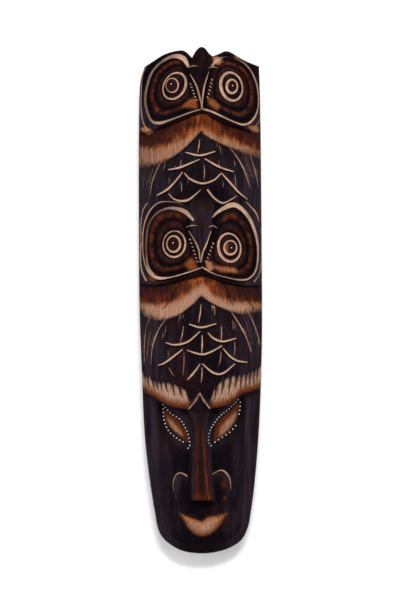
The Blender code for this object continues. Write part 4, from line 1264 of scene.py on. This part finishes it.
def carved_mask(materials):
    """The whole mask as one closed mesh: carved front, hollowed back and the side between them."""
    front, front_faces, front_edge, values, waxy_sheen = carved_front()
    back, back_faces, back_edge = carved_back()
    rings = side_wall(front[front_edge], back[back_edge])
    vertices = np.clip(np.vstack([front] + rings + [back]), MASK_LOW, MASK_HIGH)
    back_start = len(vertices) - len(back)
    between = np.arange(len(front), back_start).reshape(len(rings), -1)
    side_faces = stitched([front_edge, *between, back_start + back_edge])
    faces = np.vstack([front_faces, back_start + back_faces, side_faces])
    mesh = bpy.data.meshes.new("carved_mask")
    mesh.from_pydata(vertices.tolist(), [], faces.tolist())
    mesh.validate()
    if np.linalg.det(vertices[faces]).sum() < 0:
        mesh.flip_normals()
    others = len(vertices) - len(front)
    for name, given in values.items():
        set_values(mesh, name, np.concatenate([given, np.full(others, OFF_THE_FRONT.get(name, 0.0))]))
    set_values(mesh, "proud", curvature(vertices, faces))
    # The painted sheen, set by the way each spot faces
    set_values(mesh, "painted_sheen", painted_sheen_amount(mesh) * np.concatenate([waxy_sheen, np.ones(others)]))
    for material in materials:
        mesh.materials.append(material)
    counts = [len(front_faces), len(back_faces), len(side_faces)]
    kinds = np.repeat([FRONT_KIND, BACK_KIND, SIDE_KIND], counts)
    mesh.polygons.foreach_set("material_index", kinds.astype(np.int32))
    piece = bpy.data.objects.new("carved_mask", mesh)
    bpy.context.scene.collection.objects.link(piece)
    return piece


# The light that falls on the mask, by which its colours are divided
LIGHT_LEVEL = 1.35


def tone(red, green, blue):
    """The colour that is seen like this in the light of the studio."""
    seen = np.array([red, green, blue]) / 255
    return (*np.where(seen < 0.04045, seen / 12.92, ((seen + 0.055) / 1.055) ** 2.4) / LIGHT_LEVEL, 1)


BLACK_STAIN = tone(12, 7, 13)
RED_STAIN = tone(38, 16, 18)
# Painted sheen: a grey violet laid where the lamps would reflect off the slopes
PAINTED_SHEEN_COLOUR = tone(52, 43, 53)
RUST_BROWN = tone(108, 48, 20)
PALE_WOOD = tone(174, 136, 114)
ORANGE_WOOD = tone(154, 86, 40)
CUT_WOOD = tone(204, 168, 142)
CUT_EDGE = tone(150, 98, 66)
WHITE_PAINT = tone(226, 222, 218)
BACK_STAIN = tone(64, 42, 30)
BACK_THIN_STAIN = tone(98, 66, 44)
BACK_WORN_WOOD = tone(128, 92, 62)
WAX_SPECULAR = 0.02
BARE_ROUGHNESS = 0.68


def add(tree, kind, settings=None, inputs=None):
    """A shader node with its settings, and each input set or linked."""
    made = tree.nodes.new(kind)
    for name, value in (settings or {}).items():
        setattr(made, name, value)
    for key, value in (inputs or {}).items():
        if isinstance(value, bpy.types.NodeSocket):
            tree.links.new(value, made.inputs[key])
        else:
            made.inputs[key].default_value = value
    return made


def calculate(tree, operation, first, second, third=0.0):
    made = add(tree, "ShaderNodeMath", {"operation": operation}, {0: first, 1: second, 2: third})
    return made.outputs[0]


def blend_colours(tree, share, first, second, kind="MIX"):
    made = add(tree, "ShaderNodeMix", {"data_type": "RGBA", "blend_type": kind},
               {0: share, 6: first, 7: second})
    return made.outputs[2]


def shaded(tree, colour, light):
    """The colour made darker or lighter by a value."""
    grey = add(tree, "ShaderNodeCombineColor", None, {0: light, 1: light, 2: light}).outputs[0]
    return blend_colours(tree, 1.0, colour, grey, "MULTIPLY")


def remapped(tree, value, low, high, new_low=0.0, new_high=1.0, kind="SMOOTHSTEP"):
    made = add(tree, "ShaderNodeMapRange", {"interpolation_type": kind},
               {"Value": value, "From Min": low, "From Max": high, "To Min": new_low, "To Max": new_high})
    return made.outputs["Result"]


def noise_value(tree, vector, scale, detail=3.0, roughness=0.55):
    made = add(tree, "ShaderNodeTexNoise", None,
               {"Vector": vector, "Scale": scale, "Detail": detail, "Roughness": roughness})
    return made.outputs["Fac"]


def value_of(tree, name):
    """A value stored on the carving's points."""
    return add(tree, "ShaderNodeAttribute", {"attribute_name": name}).outputs["Fac"]


def new_group(name, inputs, outputs):
    """An empty node group with named sockets, its input node and its output node."""
    group = bpy.data.node_groups.new(name, "ShaderNodeTree")
    for label, kind, value in inputs:
        socket = group.interface.new_socket(label, in_out="INPUT", socket_type=kind)
        socket.default_value = value
    for label, kind in outputs:
        group.interface.new_socket(label, in_out="OUTPUT", socket_type=kind)
    return group, group.nodes.new("NodeGroupInput"), group.nodes.new("NodeGroupOutput")


def grain_group():
    """Grain that runs up the log: broad streaks, fine fibres and their height."""
    group, given, result = new_group(
        "wood grain", [("Fineness", "NodeSocketFloat", 1.0)],
        [("Streaks", "NodeSocketFloat"), ("Fibres", "NodeSocketFloat"), ("Height", "NodeSocketFloat")])
    place = add(group, "ShaderNodeTexCoord").outputs["Object"]
    wander = add(group, "ShaderNodeTexNoise", None, {"Vector": place, "Scale": 14.0, "Detail": 1.0})
    bent = add(group, "ShaderNodeVectorMath", {"operation": "MULTIPLY_ADD"},
               {0: wander.outputs["Color"], 1: (0.006, 0.006, 0), 2: place}).outputs[0]
    stretched = add(group, "ShaderNodeMapping", None, {"Vector": bent, "Scale": (1, 1, 0.055)}).outputs[0]
    fine = calculate(group, "MULTIPLY", given.outputs["Fineness"], 950.0)
    broad = calculate(group, "MULTIPLY", given.outputs["Fineness"], 210.0)
    streaks = noise_value(group, stretched, broad, 4.0, 0.6)
    fibres = noise_value(group, stretched, fine, 3.0, 0.6)
    height = calculate(group, "MULTIPLY_ADD", streaks, 0.5, fibres)
    group.links.new(streaks, result.inputs["Streaks"])
    group.links.new(fibres, result.inputs["Fibres"])
    group.links.new(height, result.inputs["Height"])
    return group


def stain_group():
    """Dark stain rubbed into the wood: thinner and redder along some streaks. The colour is also made
    darker in the cuts.
    """
    group, given, result = new_group(
        "rubbed stain", [("Dark", "NodeSocketColor", BLACK_STAIN), ("Thin", "NodeSocketColor", RED_STAIN),
                         ("Worn", "NodeSocketColor", RUST_BROWN), ("Streaks", "NodeSocketFloat", 0.5),
                         ("Fibres", "NodeSocketFloat", 0.5), ("Proud", "NodeSocketFloat", 0.0),
                         ("Wear", "NodeSocketFloat", 0.4)],
        [("Color", "NodeSocketColor"), ("Sheen", "NodeSocketFloat")])
    place = add(group, "ShaderNodeTexCoord").outputs["Object"]
    cloud = noise_value(group, place, 26.0, 3.0)
    thin = calculate(group, "MULTIPLY", remapped(group, given.outputs["Streaks"], 0.2, 0.75),
                     remapped(group, cloud, 0.42, 0.75))
    colour = blend_colours(group, thin, given.outputs["Dark"], given.outputs["Thin"])
    scuffed = noise_value(group, place, 190.0, 4.0, 0.65)
    rubbed = calculate(group, "MULTIPLY", remapped(group, given.outputs["Proud"], 0.03, 0.22),
                       remapped(group, scuffed, 0.35, 0.7))
    rubbed = calculate(group, "MULTIPLY", rubbed, given.outputs["Wear"])
    colour = blend_colours(group, rubbed, colour, given.outputs["Worn"])
    # Darker in the cuts, by how far each spot lies below its surroundings
    colour = shaded(group, colour, remapped(group, given.outputs["Proud"], -0.3, 0.0, 0.55, 1.0))
    fibre_light = remapped(group, given.outputs["Fibres"], 0.35, 0.62, 0.78, 1.15, "LINEAR")
    colour = shaded(group, colour, fibre_light)
    sheen = remapped(group, noise_value(group, place, 75.0, 3.0), 0.3, 0.7)
    group.links.new(colour, result.inputs["Color"])
    group.links.new(sheen, result.inputs["Sheen"])
    return group


def new_material(name):
    material = bpy.data.materials.new(name)
    material.use_nodes = True
    tree = material.node_tree
    return material, tree, tree.nodes["Principled BSDF"]


def stained_wood(name, grain, stain, fineness, relief, stain_values):
    """A material with grain and stain in it. Its relief is how strong and how deep the grain is."""
    material, tree, shader = new_material(name)
    grained = add(tree, "ShaderNodeGroup", {"node_tree": grain}, {"Fineness": fineness}).outputs
    stained = add(tree, "ShaderNodeGroup", {"node_tree": stain},
                  {"Streaks": grained["Streaks"], "Fibres": grained["Fibres"],
                   "Proud": value_of(tree, "proud"), **stain_values}).outputs
    strength, distance = relief
    bump = add(tree, "ShaderNodeBump", None,
               {"Strength": strength, "Distance": distance, "Height": grained["Height"]})
    tree.links.new(bump.outputs[0], shader.inputs["Normal"])
    return material, tree, shader, grained, stained


def with_painted_sheen_and_rust(tree, colour, streaks, mottled):
    """The stain with a painted sheen on slopes that look sideways and up, and rubbed to a rusty brown."""
    painted_sheen = calculate(tree, "MULTIPLY", value_of(tree, "painted_sheen"),
                      remapped(tree, streaks, 0.3, 0.65, 0.15, 0.62))
    colour = blend_colours(tree, painted_sheen, colour, PAINTED_SHEEN_COLOUR)
    # The rust, with the painted highlight down the nose and the painted shadow under the lids in it
    rust = calculate(tree, "MULTIPLY", value_of(tree, "rust"),
                     remapped(tree, mottled, 0.25, 0.6, 0.55, 1.1))
    rust_colour = blend_colours(tree, remapped(tree, rust, 0.6, 1.7), RUST_BROWN, ORANGE_WOOD)
    return blend_colours(tree, rust, colour, rust_colour)


def bare_wood(tree, fibres):
    """The colour of the bare wood, pale or orange, with its fibres."""
    wood = blend_colours(tree, value_of(tree, "glow"), PALE_WOOD, ORANGE_WOOD)
    return shaded(tree, wood, remapped(tree, fibres, 0.3, 0.7, 0.72, 1.12, "LINEAR"))


def hairy_pale(tree, fibres):
    """How bare the wood is, broken up along the fibres where it is only part bare."""
    laid = value_of(tree, "pale")
    part_laid = calculate(tree, "MULTIPLY", laid, calculate(tree, "SUBTRACT", 1.0, laid))
    hairy = calculate(tree, "MULTIPLY_ADD", fibres, 6.0, -3.0)
    pale = calculate(tree, "ADD", laid, calculate(tree, "MULTIPLY", part_laid, hairy))
    return remapped(tree, pale, 0.0, 1.0, kind="LINEAR")


def gouge_line(tree, mottled, uneven):
    """How far a gouge laid the wood bare, and the colour there, darker at the edges of the cut."""
    rough_edge = calculate(tree, "MULTIPLY_ADD", mottled, 0.5, -0.25)
    into_line = calculate(tree, "ADD", value_of(tree, "line"), rough_edge)
    line = calculate(tree, "MULTIPLY", remapped(tree, into_line, -0.1, 0.25), value_of(tree, "bare"))
    line = calculate(tree, "MULTIPLY", line, remapped(tree, uneven, 0.25, 0.55, 0.6, 1.0))
    return line, blend_colours(tree, remapped(tree, into_line, -0.1, 0.5), CUT_EDGE, CUT_WOOD)


def carving_material(grain, stain):
    """The front: stain, bare wood over it, then the gouge lines and the white dots."""
    material, tree, shader, grained, stained = stained_wood(
        "stained carving", grain, stain, 1.0, (0.35, 0.0004), {"Wear": 0.07})
    place = add(tree, "ShaderNodeTexCoord").outputs["Object"]
    mottled = noise_value(tree, place, 260.0, 4.0, 0.6)
    uneven = noise_value(tree, place, 120.0, 3.0, 0.6)
    # The painted sheen and the rust go over the stain
    colour = with_painted_sheen_and_rust(tree, stained["Color"], grained["Streaks"], mottled)
    pale = hairy_pale(tree, grained["Fibres"])
    colour = blend_colours(tree, pale, colour, bare_wood(tree, grained["Fibres"]))
    line, cut_colour = gouge_line(tree, mottled, uneven)
    colour = blend_colours(tree, line, colour, cut_colour)
    dots = calculate(tree, "MULTIPLY", remapped(tree, value_of(tree, "dots"), -0.12, 0.12),
                     remapped(tree, uneven, 0.25, 0.5, 0.45, 1.0))
    colour = blend_colours(tree, dots, colour, WHITE_PAINT)
    tree.links.new(colour, shader.inputs["Base Color"])
    open_wood = calculate(tree, "MAXIMUM", pale, line)
    waxy_sheen = remapped(tree, stained["Sheen"], 0, 1, 0.4, 0.55, "LINEAR")
    roughness = add(tree, "ShaderNodeMix", None, {0: open_wood, 2: waxy_sheen, 3: BARE_ROUGHNESS}).outputs[0]
    tree.links.new(roughness, shader.inputs["Roughness"])
    shader.inputs["Specular IOR Level"].default_value = WAX_SPECULAR
    return material


def plain_material(name, grain, stain, fineness, relief, roughness, stain_values):
    """Stained wood with nothing over it, between two roughnesses."""
    material, tree, shader, _, stained = stained_wood(name, grain, stain, fineness, relief, stain_values)
    tree.links.new(stained["Color"], shader.inputs["Base Color"])
    tree.links.new(remapped(tree, stained["Sheen"], 0, 1, *roughness, "LINEAR"), shader.inputs["Roughness"])
    return material, shader


def side_material(grain, stain):
    """The stained side of the log, plainer than the front."""
    material, shader = plain_material("stained side", grain, stain, 0.8, (0.5, 0.0005), (0.42, 0.58),
                                      {"Wear": 0.07})
    shader.inputs["Specular IOR Level"].default_value = WAX_SPECULAR
    return material


def back_material(grain, stain):
    """The gouged back, under one thin coat of stain."""
    material, _ = plain_material("gouged back", grain, stain, 0.7, (0.8, 0.0006), (0.62, 0.8),
                                 {"Dark": BACK_STAIN, "Thin": BACK_THIN_STAIN, "Worn": BACK_WORN_WOOD,
                                  "Wear": 0.6})
    return material


def make_mask():
    grain = grain_group()
    stain = stain_group()
    piece = carved_mask([carving_material(grain, stain), side_material(grain, stain),
                         back_material(grain, stain)])
    for thing in bpy.context.selected_objects:
        thing.select_set(False)
    piece.select_set(True)
    bpy.context.view_layer.objects.active = piece
    bpy.ops.object.shade_smooth_by_angle(angle=math.radians(SHARP_ANGLE))
    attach(piece, "root")
    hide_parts("mask")


# The studio, in metres. One step of the drawing is one pixel of the picture.
MIDDLE = 0.5 * (MASK_LOW + MASK_HIGH)
PICTURE_HEIGHT = 601
CAMERA_AWAY = 3.0
CAMERA_SHIFT = (0.0001, 0.0003)
SENSOR = 24.0
WALL_GAP = 0.001
WALL_SIZE = 6
WALL_TONE = 0.88
FLOOR_DROP = 0.06
FLOOR_SIZE = 8
FLOOR_TONE = 0.62
WORLD_LIGHT = 0.07

# The lights: power, width and height, and place, its height counted from the middle of the mask
LIGHTS = {
    "key": (118, (1.5, 0.8), (0.25, -2.5, 2.0)),
    "left": (9, (0.5, 1.6), (-1.1, -1.2, 0.1)),
    "right": (5, (0.5, 1.6), (1.1, -1.25, 0.1)),
    "behind": (16, (1.2, 1.2), (-0.6, 1.3, 0.9)),
}


def matt_material(name, grey, roughness):
    material, tree, shader = new_material(name)
    shader.inputs["Base Color"].default_value = (grey, grey, grey, 1)
    shader.inputs["Roughness"].default_value = roughness
    return material, tree, shader


def wall_material():
    """A pale wall that can be seen through from behind, so that the back of the mask shows."""
    material, tree, shader = matt_material("pale wall", WALL_TONE, 0.9)
    clear = add(tree, "ShaderNodeBsdfTransparent")
    backfacing = add(tree, "ShaderNodeNewGeometry").outputs["Backfacing"]
    shadow = add(tree, "ShaderNodeLightPath").outputs["Is Shadow Ray"]
    through = calculate(tree, "MAXIMUM", backfacing, shadow)
    mixed = add(tree, "ShaderNodeMixShader", None, {0: through, 1: shader.outputs[0], 2: clear.outputs[0]})
    tree.links.new(mixed.outputs[0], tree.nodes["Material Output"].inputs["Surface"])
    return material


def plane(name, size, location, rotation, material):
    bpy.ops.mesh.primitive_plane_add(size=size, location=location, rotation=rotation)
    made = bpy.context.object
    made.name = name
    bpy.ops.object.transform_apply(location=True, rotation=True, scale=True)
    made.data.materials.append(material)
    return made


def soft_light(name, power, size, location):
    """A rectangular light that looks at the middle of the mask."""
    light = bpy.data.lights.new(name, "AREA")
    light.energy = power
    light.shape = "RECTANGLE"
    light.size, light.size_y = size
    holder = bpy.data.objects.new(name, light)
    holder.location = location
    holder.rotation_euler = (Vector(MIDDLE) - Vector(location)).to_track_quat("-Z", "Y").to_euler()
    bpy.context.scene.collection.objects.link(holder)


def dim_world():
    """A world that is white to the camera and gives only a little light."""
    world = bpy.data.worlds.new("studio")
    world.use_nodes = True
    bpy.context.scene.world = world
    tree = world.node_tree
    background = tree.nodes["Background"]
    background.inputs["Color"].default_value = (1, 1, 1, 1)
    seen = add(tree, "ShaderNodeLightPath").outputs["Is Camera Ray"]
    tree.links.new(remapped(tree, seen, 0, 1, WORLD_LIGHT, 1.0, "LINEAR"), background.inputs["Strength"])


def studio():
    wall = plane("wall", WALL_SIZE, (0, WALL_GAP, 0), (math.pi / 2, 0, 0), wall_material())
    floor_material, *_ = matt_material("pale floor", FLOOR_TONE, 0.8)
    floor = plane("floor", FLOOR_SIZE, (0, 0, MASK_LOW[2] - FLOOR_DROP), (0, 0, 0), floor_material)
    for name, (power, size, (across, out, up)) in LIGHTS.items():
        soft_light(name, power, size, (across, out, MIDDLE[2] + up))
    dim_world()


def camera():
    """The camera of the picture, straight in front of the mask."""
    data = bpy.data.cameras.new("camera")
    data.sensor_fit = "VERTICAL"
    data.sensor_height = SENSOR
    data.lens = SENSOR * CAMERA_AWAY / (PICTURE_HEIGHT * STEP_Z)
    holder = bpy.data.objects.new("camera", data)
    right, up = CAMERA_SHIFT
    holder.location = (MIDDLE[0] + right, -SIDE_DEPTH - CAMERA_AWAY, MIDDLE[2] + up)
    holder.rotation_euler = (math.pi / 2, 0, 0)
    bpy.context.scene.collection.objects.link(holder)
    bpy.context.scene.camera = holder


camera()
make_mask()
studio()
bpy.context.scene.view_settings.view_transform = "Standard"
